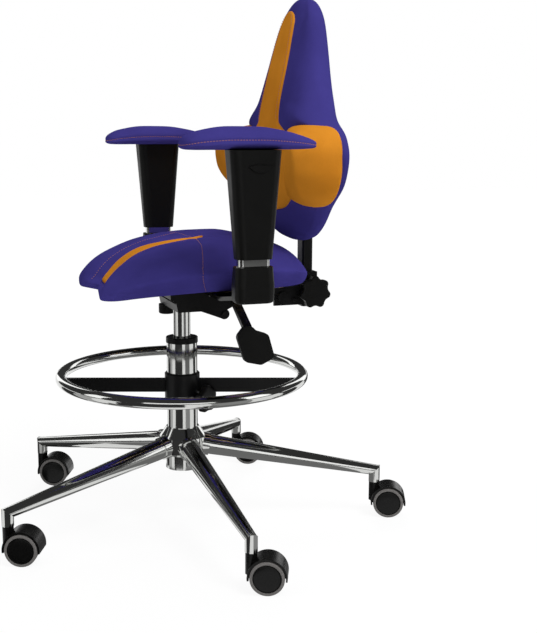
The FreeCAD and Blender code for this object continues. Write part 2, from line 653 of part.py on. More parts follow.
def stem_section(x, mid_y, mid_z):
    half_y, half_z = PADDLE_STEM_WIDTH / 2, PADDLE_THICK / 2
    return [V(x, mid_y - half_y, mid_z - half_z), V(x, mid_y + half_y, mid_z - half_z),
            V(x, mid_y + half_y, mid_z + half_z), V(x, mid_y - half_y, mid_z + half_z)]


def upright_block(gap, z0, z1):
    """Flat tube of the back, or the hole it runs in."""
    return rounded_block(0, UPRIGHT_MID_Y, UPRIGHT_X + 2 * gap, UPRIGHT_Y + 2 * gap,
                         UPRIGHT_ROUND + gap, z0, z1)


def back_support():
    inner = FORK_HALF_X + FACE_GAP
    outer = inner + CHEEK_THICK
    block = box(-BLOCK_HALF_X, BLOCK_HALF_X, BLOCK_FRONT_Y, BLOCK_REAR_Y, CHEEK_BOTTOM_Z, BLOCK_TOP_Z)
    cheeks = []
    for side in (-1, 1):
        x0, x1 = sorted((side * inner, side * outer))
        cheeks.append(box(x0, x1, CHEEK_FRONT_Y, BLOCK_FRONT_Y + CHEEK_THICK, CHEEK_BOTTOM_Z, CHEEK_TOP_Z))
    arm = fused(block, *cheeks)
    upright_hole = upright_block(SLIDE_GAP, CHEEK_BOTTOM_Z, BLOCK_TOP_Z)
    bore = pin(PIVOT_R + RUN_GAP, V(-outer, PIVOT_Y, PIVOT_Z), V(outer, PIVOT_Y, PIVOT_Z))
    stud_hole = pin(BACK_STUD_R + RUN_GAP, V(0, UPRIGHT_MID_Y, BACK_KNOB_Z),
                    V(outer + BLOCK_HALF_X, UPRIGHT_MID_Y, BACK_KNOB_Z))
    arm = arm.cut(upright_hole).cut(bore).cut(stud_hole)
    knob = star_knob(BACK_KNOB_R, BACK_KNOB_THICK, BACK_KNOB_LOBES)
    stud_start = UPRIGHT_X / 2 + 2 * SLIDE_GAP
    knob = fused(knob, disc(BACK_STUD_R, stud_start - BACK_KNOB_X, BACK_KNOB_THICK / 2),
                 disc(BACK_KNOB_R / 2, BLOCK_HALF_X + FACE_GAP - BACK_KNOB_X, BACK_KNOB_THICK / 2))
    knob.rotate(ORIGIN, V(0, 1, 0), 90)
    knob.translate(V(BACK_KNOB_X, UPRIGHT_MID_Y, BACK_KNOB_Z))
    upright = upright_block(0, UPRIGHT_BOTTOM_Z, UPRIGHT_TOP_Z)
    return {"back_arm": arm, "back_knob": knob, "back_upright": upright}


# Backrest outline: height, half width, side front Y, middle front Y, rear Y, wrap of the rear
BACK_SECTIONS = [
    (461, 30, 200, 189, 212, 1), (468, 58, 194, 174, 217, 4), (488, 94, 187, 158, 222, 9),
    (520, 134, 183, 149, 226, 16), (560, 184, 186, 146, 227, 19), (600, 202, 188, 146, 227, 22),
    (630, 184, 184, 146, 227, 19), (652, 136, 152, 147, 227, 5), (680, 114, 162, 152, 226, 2),
    (720, 96, 171, 160, 226, 2), (765, 82, 181, 170, 225, 2), (805, 67, 189, 180, 224, 2),
    (830, 49, 197, 189, 221, 2), (845, 21, 204, 199, 215, 1),
]
SIDE_ROUND = 0.42       # reach of the round sides, as a share of the thickness there

# Lumbar wing: height, outer X, tip X, tip Y
WING_SECTIONS = [
    (514, 118, 106, 187), (528, 158, 142, 160), (548, 187, 168, 132), (578, 201, 186, 117),
    (606, 202, 188, 114), (630, 191, 172, 126), (643, 168, 150, 146), (651, 122, 108, 175),
]
WING_ROOT_Y = 151.0
WING_SWELL = 8.0
WING_BULGE = 6.0

# Right half of the spine strip and of the lumbar middle below it: X, height
STRIP_OUTLINE = [
    (24, 806), (33, 745), (35, 690), (38, 656), (74, 634), (78, 600), (78, 560), (66, 534), (34, 512),
]
STRIP_TOP_Z = 827.0


def back_section(z, half, side_y, mid_y, rear_y, wrap, proud=0.0):
    """Curved rear, two round sides and one crowned front."""
    rear_side = rear_y - wrap
    flat = half - SIDE_ROUND * (rear_side - side_y)
    mid_side = (side_y + rear_side) / 2
    front_side = side_y - proud
    rear = arc(V(-flat, rear_side, z), V(0, rear_y, z), V(flat, rear_side, z))
    right = arc(V(flat, rear_side, z), V(half, mid_side, z), V(flat, front_side, z))
    front = arc(V(flat, front_side, z), V(0, mid_y - proud, z), V(-flat, front_side, z))
    left = arc(V(-flat, front_side, z), V(-half, mid_side, z), V(-flat, rear_side, z))
    return Part.Wire([rear, right, front, left])


def back_form(proud):
    return Part.makeLoft([back_section(*s, proud) for s in BACK_SECTIONS], True, False)


def wing_section(z, outer_x, tip_x, tip_y):
    root = V(WING_ROOT_X, max(WING_ROOT_Y, tip_y), z)
    tip = V(tip_x, tip_y, z)
    inner = V(WING_ROOT_X, WING_REAR_Y, z)
    outer = V(outer_x, WING_REAR_Y, z)
    swell = (outer + tip) / 2 + V(WING_SWELL, -WING_BULGE, 0)
    bulge = (root + tip) / 2 - V(0, WING_BULGE, 0)
    return Part.Wire([line(inner, outer), arc(outer, swell, tip), arc(tip, bulge, root), line(root, inner)])


def strip_prism():
    """Front outline of the strip, run through the whole backrest."""
    right = [V(x, 0, z) for x, z in STRIP_OUTLINE]
    left = [V(-p.x, 0, p.z) for p in reversed(right)]
    edges = [arc(left[-1], V(0, 0, STRIP_TOP_Z), right[0])]
    around = right + left
    edges += [line(p, q) for p, q in zip(around, around[1:])]
    return Part.Face(Part.Wire(edges)).extrude(V(0, UPRIGHT_MID_Y, 0))


def backrest():
    body = back_form(0)
    clear = back_form(SLIDE_GAP)
    split_y = UPRIGHT_MID_Y - UPRIGHT_Y / 2
    box_front = box(-ARM_X, ARM_X, 0, split_y, 0, 2 * UPRIGHT_TOP_Z)
    inner = [(s[1] - BOARD_INSET, s[0]) for s in BACK_SECTIONS if s[1] > 2 * BOARD_INSET]
    outline = [V(x, split_y, z) for x, z in inner] + [V(-x, split_y, z) for x, z in reversed(inner)]
    board = Part.Face(polygon(outline)).extrude(V(0, -BOARD_THICK, 0))
    slot = upright_block(0, CHEEK_BOTTOM_Z, UPRIGHT_TOP_Z)
    wing = Part.makeLoft([wing_section(*s) for s in WING_SECTIONS], True, False).cut(clear)
    wings = [wing, wing.mirror(ORIGIN, V(1, 0, 0))]
    return {
        "backrest_board": board,
        "backrest_cushion": body.common(box_front).cut(board),
        "backrest_cover": body.cut(box_front).cut(slot),
        "lumbar_wings": Part.makeCompound(wings),
        "spine_strip": back_form(STRIP_PROUD).common(strip_prism()).cut(clear),
    }


# Seat: place along Y, half width, underside Z, crest Z of the thigh lobes, channel half width and depth
SEAT_SECTIONS = [
    (-151, 104, 389, 403, 24, 4.5), (-138, 134, 386, 420, 24, 4.5), (-100, 164, 390, 443, 22, 4.5),
    (-45, 188, 396, 462, 17, 4.5), (15, 203, 400, 470, 9, 4.5), (38, 204, 400, 471, 2.5, 2),
    (75, 203, 400, 471, 2.5, 2), (120, 184, 400, 461, 2.5, 2), (155, 147, 399, 445, 2.5, 2),
    (174, 112, 399, 427, 2.5, 1.5), (183, 82, 400, 414, 2.5, 1),
]
SEAT_FLAT = 0.7         # shares of the half width and of the height, for the sides and the lobes
SEAT_WAIST_Z = 0.5
LOBE_MID_X = 0.42
LOBE_RIM = 0.06


def seat_section(y, half, low, crest, channel, depth, fill):
    """Flat underside, rising sides, two crowned lobes and the channel between them."""
    tall = crest - low
    rim = crest - LOBE_RIM * tall
    flat = SEAT_FLAT * half
    reach = half - flat
    rise = SEAT_WAIST_Z * tall
    side_r = (reach ** 2 + rise ** 2) / (2 * rise)
    turn = math.asin(reach / side_r) / 2
    right = [
        V(flat, y, low), V(flat + side_r * math.sin(turn), y, low + side_r * (1 - math.cos(turn))),
        V(half, y, low + rise), V(LOBE_MID_X * half, y, crest),
        V(channel, y, rim), V(channel - CHANNEL_SLOPE, y, rim - depth + fill),
    ]
    left = [V(-p.x, p.y, p.z) for p in right]
    return Part.Wire([
        line(left[0], right[0]),
        arc(right[0], right[1], right[2]), arc(right[2], right[3], right[4]), line(right[4], right[5]),
        line(right[5], left[5]),
        line(left[5], left[4]), arc(left[4], left[3], left[2]), arc(left[2], left[1], left[0]),
    ])


def seat_form(fill):
    """The seat with its channel filled up by the given height."""
    sections = [seat_section(*s, min(fill, s[5] - CHANNEL_LEFT)) for s in SEAT_SECTIONS]
    form = Part.makeLoft(sections, True, False)
    front = SEAT_SECTIONS[0][0]
    ends = [V(-NOTCH_HALF_X, front, 0), V(NOTCH_HALF_X, front, 0)]
    notch = Part.Wire([line(ends[1], ends[0]), arc(ends[0], V(0, front + NOTCH_DEPTH, 0), ends[1])])
    return form.cut(Part.Face(notch).extrude(V(0, 0, SLEEVE_TOP_Z)))


def inlay_prism():
    """Plan of the inlay, run through the whole seat."""
    edge = CHANNEL_SLOPE + SLIDE_GAP
    right = [V(s[4] - edge, s[0], 0) for s in SEAT_SECTIONS if s[5] > INLAY_THICK]
    left = [V(-p.x, p.y, 0) for p in reversed(right)]
    return Part.Face(polygon(right + left)).extrude(V(0, 0, SLEEVE_TOP_Z))


def seat():
    pan_mid = (PAN_FRONT_Y + PAN_REAR_Y) / 2
    pan_y = PAN_REAR_Y - PAN_FRONT_Y
    pan = rounded_block(0, pan_mid, 2 * PAN_HALF_X, pan_y, PAN_CORNER, MECH_PLATE_TOP_Z, PAN_TOP_Z)
    recess = rounded_block(0, pan_mid, 2 * (PAN_HALF_X + SLIDE_GAP), pan_y + 2 * SLIDE_GAP,
                           PAN_CORNER, 0, PAN_TOP_Z + SLIDE_GAP)
    inlay = seat_form(INLAY_THICK).common(inlay_prism()).cut(seat_form(SLIDE_GAP))
    bolts = [(x, y, MECH_TOP_Z) for x, y in bolt_places()]
    bolts += [(x, y, STRAP_BOTTOM_Z) for x, y in strap_bolt_places()]
    shank_top = PAN_TOP_Z - 2 * SLIDE_GAP
    screws = []
    for x, y, face in bolts:
        pan = pan.cut(disc(BOLT_R, MECH_PLATE_TOP_Z, shank_top, x, y))
        head = disc(BOLT_HEAD_R, face - BOLT_HEAD, face, x, y)
        screws.append(fused(disc(BOLT_R, face, shank_top, x, y), head))
    return {
        "seat_pan": pan,
        "seat_cushion": seat_form(0).cut(recess),
        "seat_inlay": max(inlay.Solids, key=lambda solid: solid.Volume),
        "seat_screws": Part.makeCompound(screws),
    }


# Round lower edge of the base cover: rise above its bottom, and inset
COVER_EDGE = [(0, 5), (0.7, 3.2), (1.9, 1.9), (4, 0.9), (8, 0.4)]

# Arm pad: shares of its width and length, and share of its height
PAD_SECTIONS = [
    (0.86, 0.9, 0), (0.98, 0.98, 0.22), (1, 1, 0.42), (0.92, 0.94, 0.72), (0.72, 0.82, 0.93),
    (0.45, 0.66, 1),
]


def arm():
    """Left arm rest, on the +X side: strap, post, base cover, sliding sleeve, pad and button."""
    profile = [
        (STRAP_INNER_X, STRAP_BOTTOM_Z), (STRAP_RAMP_X, STRAP_BOTTOM_Z),
        (STRAP_OUTER_X, COVER_BOTTOM_Z + FACE_GAP), (ARM_X + POST_X / 2, COVER_BOTTOM_Z + FACE_GAP),
    ]
    front = ARM_Y - STRAP_WIDTH / 2
    lower = [V(x, front, z) for x, z in profile]
    upper = [V(p.x, front, p.z + STRAP_THICK) for p in reversed(lower)]
    strap = Part.Face(polygon(lower + upper)).extrude(V(0, STRAP_WIDTH, 0))
    for x, y in strap_bolt_places():
        strap = strap.cut(disc(BOLT_R, STRAP_BOTTOM_Z, MECH_PLATE_TOP_Z, x, y))
    post = fused(strap, post_block(0, COVER_BOTTOM_Z + FACE_GAP, POST_TOP_Z))
    cover = Part.makeLoft([
        rounded_wire(ARM_X, ARM_Y, COVER_WIDE_X - 2 * inset, COVER_WIDE_Y - 2 * inset, COVER_ROUND - inset,
                     COVER_BOTTOM_Z + rise)
        for rise, inset in COVER_EDGE
    ] + [
        rounded_wire(ARM_X, ARM_Y, COVER_WIDE_X, COVER_WIDE_Y, COVER_ROUND, COVER_WIDE_Z),
        rounded_wire(ARM_X, ARM_Y, COVER_TOP_X, COVER_TOP_Y, COVER_ROUND, COVER_TOP_Z),
    ], True, True).cut(post)
    sleeve = Part.makeLoft([
        rounded_wire(ARM_X, ARM_Y, SLEEVE_BOTTOM_X, SLEEVE_BOTTOM_Y, SLEEVE_ROUND, SLEEVE_BOTTOM_Z),
        rounded_wire(ARM_X, ARM_Y, SLEEVE_TOP_X, SLEEVE_TOP_Y, SLEEVE_ROUND, SLEEVE_TOP_Z),
    ], True, True)
    button = button_block(0, -BUTTON_DEPTH, BUTTON_PROUD)
    pocket = button_block(SLIDE_GAP, -BUTTON_DEPTH - BUTTON_TRAVEL - FACE_GAP, BUTTON_DEPTH)
    sleeve = sleeve.cut(post_block(SLIDE_GAP, SLEEVE_BOTTOM_Z, POST_TOP_Z + ARM_DROP + FACE_GAP)).cut(pocket)
    pad = Part.makeLoft([
        rounded_wire(ARM_X - PAD_INSET, ARM_Y, share_x * PAD_X, share_y * PAD_Y, PAD_X / 2,
                     SLEEVE_TOP_Z + rise * PAD_HEIGHT)
        for share_x, share_y, rise in PAD_SECTIONS
    ], True, False)
    return {"post": post, "base": cover, "sleeve": sleeve, "pad": pad, "button": button}


def post_block(gap, z0, z1):
    """Flat post of the arm, or the bore it runs in."""
    return rounded_block(ARM_X, ARM_Y, POST_X + 2 * gap, POST_Y + 2 * gap, POST_ROUND + gap, z0, z1)


def button_block(gap, inner, outer):
    """Half-moon height button, or its pocket, measured outwards from the sleeve's face."""
    ends = [V(0, -BUTTON_LENGTH / 2, inner), V(0, BUTTON_LENGTH / 2, inner)]
    moon = Part.Wire([arc(ends[0], V(-BUTTON_RISE, 0, inner), ends[1]),
                      arc(ends[1], V(BUTTON_BELLY, 0, inner), ends[0])])
    if gap:
        moon = moon.makeOffset2D(gap)
    block = Part.Face(moon).extrude(V(0, 0, outer - inner))
    block.rotate(ORIGIN, V(0, 1, 0), 90)
    block.translate(V(BUTTON_FACE_X, BUTTON_Y, BUTTON_Z))
    return block


def arms():
    nodes = {}
    for name, shape in arm().items():
        nodes["arm_%s_left" % name] = shape
        nodes["arm_%s_right" % name] = shape.mirror(ORIGIN, V(1, 0, 0))
    return nodes


def main():
    os.makedirs("parts", exist_ok=True)
    nodes = {}
    groups = [star_base, column, casters, foot_ring, mechanism, levers, back_support, backrest, seat, arms]
    for group in groups:
        nodes.update(group())
    for name, shape in nodes.items():
        shape.exportStep("parts/%s.step" % name)
        print(name, len(shape.Solids), "solids", round(shape.Volume / 1000, 1), "cm3", shape.isValid())
    print(len(nodes), "nodes")


main()
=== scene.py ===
import json
import math

import bmesh
import bpy
import numpy as np
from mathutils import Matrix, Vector
from mathutils.bvhtree import BVHTree
from mathutils.kdtree import KDTree


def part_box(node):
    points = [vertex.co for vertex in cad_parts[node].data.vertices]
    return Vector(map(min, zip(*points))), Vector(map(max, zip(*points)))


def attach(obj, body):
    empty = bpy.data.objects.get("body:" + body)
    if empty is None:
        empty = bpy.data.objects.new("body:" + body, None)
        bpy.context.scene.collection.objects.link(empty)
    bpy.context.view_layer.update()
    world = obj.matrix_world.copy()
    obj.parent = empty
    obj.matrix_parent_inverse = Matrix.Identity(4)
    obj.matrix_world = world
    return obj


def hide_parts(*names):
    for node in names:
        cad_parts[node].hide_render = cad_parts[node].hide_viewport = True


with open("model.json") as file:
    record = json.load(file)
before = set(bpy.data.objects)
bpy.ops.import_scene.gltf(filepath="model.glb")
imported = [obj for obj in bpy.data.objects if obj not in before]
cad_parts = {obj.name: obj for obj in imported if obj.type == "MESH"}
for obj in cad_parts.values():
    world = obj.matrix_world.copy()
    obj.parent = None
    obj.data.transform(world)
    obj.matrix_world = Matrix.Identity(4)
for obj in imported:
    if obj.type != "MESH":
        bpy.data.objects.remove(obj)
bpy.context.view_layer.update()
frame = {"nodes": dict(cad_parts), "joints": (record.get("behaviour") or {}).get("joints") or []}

# Swivel chair with a foot ring: chrome and black hard parts from the frame, and new upholstery,
# wheels, arm pads and small hardware. Metres, +Z up, the sitter faces -Y. Tables are in millimetres.
MM = 0.001
MERGE = 1e-6
SIDES = (("left", 1), ("right", -1))
scene = bpy.context.scene
nodes = frame["nodes"]


# Small tools

def link(name, mesh):
    piece = bpy.data.objects.new(name, mesh)
    scene.collection.objects.link(piece)
    return piece


def mesh_piece(name, verts, faces, materials, smooth=True, finish=None):
    """A new piece with its vertices merged. finish numbers the material of each face."""
    mesh = bpy.data.meshes.new(name)
    mesh.from_pydata([tuple(v) for v in verts], [], [tuple(f) for f in faces])
    for material in materials:
        mesh.materials.append(material)
    mesh.polygons.foreach_set("use_smooth", [smooth] * len(mesh.polygons))
    if finish:
        mesh.polygons.foreach_set("material_index", finish)
    bm = bmesh.new()
    bm.from_mesh(mesh)
    bmesh.ops.remove_doubles(bm, verts=bm.verts, dist=MERGE)
    bmesh.ops.recalc_face_normals(bm, faces=bm.faces)
    bm.to_mesh(mesh)
    bm.free()
    return link(name, mesh)


def between_rows(table, at):
    """Rows of a table at other places of its first column, without overshoot."""
    table = np.asarray(table, float)
    x = table[:, 0]
    step = np.diff(x)[:, None]
    slope = np.diff(table[:, 1:], axis=0) / step
    tangent = np.zeros((len(x), table.shape[1] - 1))
    same = slope[:-1] * slope[1:] > 0
    total = np.where(same, slope[:-1] + slope[1:], 1)
    tangent[1:-1] = np.where(same, 2 * slope[:-1] * slope[1:] / total, 0)
    tangent[0], tangent[-1] = slope[0], slope[-1]
    at = np.asarray(at, float)
    i = np.clip(np.searchsorted(x, at) - 1, 0, len(x) - 2)
    h = step[i]
    t = (at[:, None] - x[i][:, None]) / h
    low, high = table[i, 1:], table[i + 1, 1:]
    return np.hstack([at[:, None],
                      (1 + 2 * t) * (1 - t) ** 2 * low + t * (1 - t) ** 2 * h * tangent[i]
                      + t * t * (3 - 2 * t) * high + t * t * (t - 1) * h * tangent[i + 1]])


def levels(*runs):
    """Even steps from a start to an end, run after run."""
    return np.concatenate([np.linspace(*run) for run in runs])


def arc_points(a, b, c, count):
    """Points on the circle from a through b to c, in the plane."""
    a, b, c = (complex(*p) for p in (a, b, c))
    w = (c - a) / (b - a)
    centre = (b - a) * (w - abs(w) ** 2) / (2j * w.imag) + a
    start, middle, end = (np.angle(p - centre) for p in (a, b, c))
    turn = (end - start) % (2 * math.pi)
    if (middle - start) % (2 * math.pi) > turn:
        turn -= 2 * math.pi
    r = abs(a - centre)
    return [(centre.real + r * math.cos(t), centre.imag + r * math.sin(t))
            for t in start + turn * np.linspace(0, 1, count)]


def ring_skin(name, rings, materials):
    """Closed surface through rings of equal count, with a pole at each end."""
    rings = np.asarray(rings, float) * MM
    rows, around, _ = rings.shape
    verts = rings.reshape(-1, 3).tolist()
    faces = []
    for i in range(rows - 1):
        for j in range(around):
            k = (j + 1) % around
            a, b = i * around, (i + 1) * around
            faces.append((a + j, a + k, b + k, b + j))
    for row in (0, rows - 1):
        verts.append(rings[row].mean(axis=0).tolist())
        for j in range(around):
            faces.append((row * around + j, row * around + (j + 1) % around, len(verts) - 1))
    return mesh_piece(name, verts, faces, materials)


def strip_piece(name, rows, across, point, material):
    """A thin closed strip over rows of place and half width: points across its face, then its underside."""
    verts = [point(place, u * half, abs(u), face) for place, half in rows
             for face in (True, False) for u in np.linspace(-1, 1, across)]
    around = 2 * across
    order = list(range(across)) + list(range(around - 1, across - 1, -1))
    faces = []
    for i in range(len(rows) - 1):
        a, b = i * around, (i + 1) * around
        faces += [(a + j, a + k, b + k, b + j) for j, k in zip(order, order[1:] + order[:1])]
    faces += [[i * around + j for j in order] for i in (0, len(rows) - 1)]
    return mesh_piece(name, verts, faces, [material])


def coords(piece):
    flat = np.empty(len(piece.data.vertices) * 3)
    piece.data.vertices.foreach_get("co", flat)
    return flat.reshape(-1, 3)


def set_coords(piece, places):
    piece.data.vertices.foreach_set("co", np.ascontiguousarray(places).ravel())
    piece.data.update()


def relax(piece, rounds, held=None, share=0.5):
    """Evens out a mesh by moving each vertex towards the middle of its neighbours."""
    ends = np.array([e.vertices[:] for e in piece.data.edges])
    places = coords(piece)
    count = np.bincount(ends.ravel(), minlength=len(places))[:, None]
    for _ in range(rounds):
        total = np.zeros_like(places)
        np.add.at(total, ends[:, 0], places[ends[:, 1]])
        np.add.at(total, ends[:, 1], places[ends[:, 0]])
        moved = places + share * (total / count - places)
        places = moved if held is None else np.where(held[:, None], places, moved)
    set_coords(piece, places)


FOAM_PRESSURE, FOAM_STEPS = 4.0, 20


def puff(piece, held, cap):
    """Fills a closed cover with foam: cloth under pressure, held at its sewn points.

    No point moves by more than cap.
    """
    before = coords(piece)
    group = piece.vertex_groups.new(name="sewn")
    group.add([int(i) for i in np.flatnonzero(held)], 1.0, "REPLACE")
    cloth = piece.modifiers.new("foam", "CLOTH")
    cloth.settings.quality = 4
    cloth.settings.mass = 0.3
    cloth.settings.tension_stiffness = 20
    cloth.settings.compression_stiffness = 20
    cloth.settings.bending_stiffness = 0.8
    cloth.settings.use_pressure = True
    cloth.settings.uniform_pressure_force = FOAM_PRESSURE
    cloth.settings.effector_weights.gravity = 0
    cloth.settings.vertex_group_mass = "sewn"
    cloth.collision_settings.use_collision = False
    cloth.point_cache.frame_start = 1
    cloth.point_cache.frame_end = FOAM_STEPS
    for number in range(1, FOAM_STEPS + 1):
        scene.frame_set(number)
    view = bpy.context.evaluated_depsgraph_get()
    filled = piece.evaluated_get(view).to_mesh()
    after = np.empty(len(filled.vertices) * 3)
    filled.vertices.foreach_get("co", after)
    after = after.reshape(-1, 3)
    piece.modifiers.remove(cloth)
    piece.vertex_groups.remove(group)
    scene.frame_set(1)
    move = after - before
    reach = np.linalg.norm(move, axis=1, keepdims=True)
    move *= np.minimum(1, cap / np.maximum(reach, 1e-9))
    set_coords(piece, before + move)


def subdivide(piece):
    """One level of subdivision, made part of the mesh."""
    smooth = piece.modifiers.new("smooth", "SUBSURF")
    smooth.levels = smooth.render_levels = 1
    view = bpy.context.evaluated_depsgraph_get()
    fine = bpy.data.meshes.new_from_object(piece.evaluated_get(view))
    piece.modifiers.remove(smooth)
    old = piece.data
    piece.data = fine
    bpy.data.meshes.remove(old)


def surface(*pieces):
    """Something to cast rays at: the given pieces as one surface."""
    verts, faces = [], []
    for piece in pieces:
        start = len(verts)
        verts += [v.co.copy() for v in piece.data.vertices]
        faces += [[start + i for i in p.vertices] for p in piece.data.polygons]
    return BVHTree.FromPolygons(verts, faces)


def press_line(piece, points, depth, width):
    """Draws the cover in along a sewn line."""
    tree = KDTree(len(points))
    for i, p in enumerate(points):
        tree.insert(p, i)
    tree.balance()
    places = coords(piece)
    normals = [v.normal.copy() for v in piece.data.vertices]
    for i, normal in enumerate(normals):
        near = tree.find(Vector(places[i]))[2]
        if near < 3 * width:
            places[i] -= np.array(normal) * depth * math.exp(-(near / width) ** 2)
    set_coords(piece, places)


def even(points, step):
    """The same line with points at an even step."""
    points = np.asarray([tuple(p) for p in points], float)
    steps = np.linalg.norm(np.diff(points, axis=0), axis=1)
    length = np.concatenate([[0], np.cumsum(steps)])
    at = np.linspace(0, length[-1], max(2, int(length[-1] / step) + 1))
    return [Vector([np.interp(t, length, points[:, i]) for i in range(3)]) for t in at]


# Materials: effects shared by several finishes are node groups

def group_with(name, inputs, outputs):
    group = bpy.data.node_groups.new(name, "ShaderNodeTree")
    add = group.interface.new_socket
    for socket, value in inputs:
        add(socket, in_out="INPUT", socket_type="NodeSocketFloat").default_value = value
    for socket in outputs:
        add(socket, in_out="OUTPUT", socket_type="NodeSocketFloat")
    return group, group.nodes.new("NodeGroupInput"), group.nodes.new("NodeGroupOutput")


THREAD_STRETCH, THREAD_TONE = 0.15, 0.12


def weave_group():
    """Fine cloth: two crossed threads, with slow changes of tone from handling."""
    inputs = [("Thread", 900.0), ("Cloud", 9.0)]
    group, given, made = group_with("upholstery_weave", inputs, ["Tone", "Height"])
    new, wire = group.nodes.new, group.links.new
    place = new("ShaderNodeTexCoord")
    threads = []
    for drawn_out in ((1.0, 1.0, THREAD_STRETCH), (THREAD_STRETCH, 1.0, 1.0)):
        along = new("ShaderNodeVectorMath")
        along.operation = "MULTIPLY"
        along.inputs[1].default_value = drawn_out
        thread = new("ShaderNodeTexNoise")
        thread.inputs["Detail"].default_value = 1.0
        wire(place.outputs["Object"], along.inputs[0])
        wire(along.outputs["Vector"], thread.inputs["Vector"])
        wire(given.outputs["Thread"], thread.inputs["Scale"])
        threads.append(thread)
    crossed = new("ShaderNodeMath")
    crossed.operation = "ADD"
    wire(threads[0].outputs["Fac"], crossed.inputs[0])
    wire(threads[1].outputs["Fac"], crossed.inputs[1])
    cloud = new("ShaderNodeTexNoise")
    cloud.inputs["Detail"].default_value = 4.0
    wire(place.outputs["Object"], cloud.inputs["Vector"])
    wire(given.outputs["Cloud"], cloud.inputs["Scale"])
    fine = new("ShaderNodeMath")
    fine.operation = "MULTIPLY_ADD"
    fine.inputs[1].default_value = THREAD_TONE
    wire(crossed.outputs[0], fine.inputs[0])
    wire(cloud.outputs["Fac"], fine.inputs[2])
    wire(fine.outputs[0], made.inputs["Tone"])
    wire(crossed.outputs[0], made.inputs["Height"])
    return group


def rub_group():
    """Uneven gloss from hands and dust, and the fine grain of the surface."""
    inputs = [("Patch", 14.0), ("Grain", 700.0), ("Low", 0.3), ("High", 0.5)]
    group, given, made = group_with("hand_rub", inputs, ["Roughness", "Height"])
    new, wire = group.nodes.new, group.links.new
    place = new("ShaderNodeTexCoord")
    patch = new("ShaderNodeTexNoise")
    patch.inputs["Detail"].default_value = 5.0
    grain = new("ShaderNodeTexNoise")
    grain.inputs["Detail"].default_value = 2.0
    for noise, scale in ((patch, "Patch"), (grain, "Grain")):
        wire(place.outputs["Object"], noise.inputs["Vector"])
        wire(given.outputs[scale], noise.inputs["Scale"])
    spread = new("ShaderNodeMapRange")
    spread.inputs["From Min"].default_value = 0.3
    spread.inputs["From Max"].default_value = 0.7
    wire(patch.outputs["Fac"], spread.inputs["Value"])
    wire(given.outputs["Low"], spread.inputs["To Min"])
    wire(given.outputs["High"], spread.inputs["To Max"])
    wire(spread.outputs["Result"], made.inputs["Roughness"])
    wire(grain.outputs["Fac"], made.inputs["Height"])
    return group


WEAVE = weave_group()
RUB = rub_group()


def finish_of(name):
    material = bpy.data.materials.new(name)
    material.use_nodes = True
    return material, material.node_tree, material.node_tree.nodes["Principled BSDF"]


def bump_from(tree, shader, height, strength, distance):
    bump = tree.nodes.new("ShaderNodeBump")
    bump.inputs["Strength"].default_value = strength
    bump.inputs["Distance"].default_value = distance
    tree.links.new(height, bump.inputs["Height"])
    tree.links.new(bump.outputs["Normal"], shader.inputs["Normal"])


CLOTH_TONES, CLOTH_BUMP = (0.35, 0.85), (0.12, 0.0003)
GRAIN_DEEP = 0.0002


def cloth_finish(name, dark, light):
    material, tree, shader = finish_of(name)
    weave = tree.nodes.new("ShaderNodeGroup")
    weave.node_tree = WEAVE
    ramp = tree.nodes.new("ShaderNodeValToRGB")
    for stop, place, colour in zip(ramp.color_ramp.elements, CLOTH_TONES, (dark, light)):
        stop.position = place
        stop.color = (*colour, 1)
    tree.links.new(weave.outputs["Tone"], ramp.inputs["Fac"])
    tree.links.new(ramp.outputs["Color"], shader.inputs["Base Color"])
    shader.inputs["Roughness"].default_value = 0.8
    shader.inputs["Specular IOR Level"].default_value = 0.0
    bump_from(tree, shader, weave.outputs["Height"], *CLOTH_BUMP)
    return material


def hard_finish(name, colour, low, high, metallic=0.0, grain=700.0, depth=0.0, gloss=0.5):
    material, tree, shader = finish_of(name)
    rub = tree.nodes.new("ShaderNodeGroup")
    rub.node_tree = RUB
    rub.inputs["Low"].default_value = low
    rub.inputs["High"].default_value = high
    rub.inputs["Grain"].default_value = grain
    tree.links.new(rub.outputs["Roughness"], shader.inputs["Roughness"])
    shader.inputs["Base Color"].default_value = (*colour, 1)
    shader.inputs["Metallic"].default_value = metallic
    shader.inputs["Specular IOR Level"].default_value = gloss
    if depth:
        bump_from(tree, shader, rub.outputs["Height"], depth, GRAIN_DEEP)
    return material


BLUE = cloth_finish("violet_blue_cloth", (0.0366, 0.0302, 0.165), (0.055, 0.0452, 0.241))
ORANGE = cloth_finish("orange_cloth", (0.48, 0.172, 0.014), (0.69, 0.266, 0.026))
THREAD = hard_finish("orange_thread", (0.42, 0.17, 0.10), 0.6, 0.8, gloss=0.1)
CHROME = hard_finish("polished_chrome", (0.62, 0.625, 0.61), 0.06, 0.11, metallic=1.0)
STEEL = hard_finish("plain_steel", (0.45, 0.45, 0.46), 0.25, 0.4, metallic=1.0)
BLACK_PLASTIC = hard_finish("moulded_black_plastic", (0.0042, 0.0042, 0.0039), 0.34, 0.5,
                            grain=900.0, depth=0.25, gloss=0.14)
GLOSS_PLASTIC = hard_finish("smooth_black_plastic", (0.0045, 0.0045, 0.0043), 0.2, 0.34, gloss=0.16)
BLACK_METAL = hard_finish("black_powder_coat", (0.0044, 0.0044, 0.0046), 0.3, 0.45,
                          grain=1400.0, depth=0.35, gloss=0.18)
TYRE = hard_finish("grey_soft_tyre", (0.15, 0.143, 0.138), 0.5, 0.7,
                   grain=1200.0, depth=0.2, gloss=0.2)
WOOD = hard_finish("raw_plywood", (0.42, 0.30, 0.17), 0.6, 0.8, grain=120.0, depth=0.3)


STRAP_PAINT_TOP, PAINT_GLOSS = 0.42, 0.05


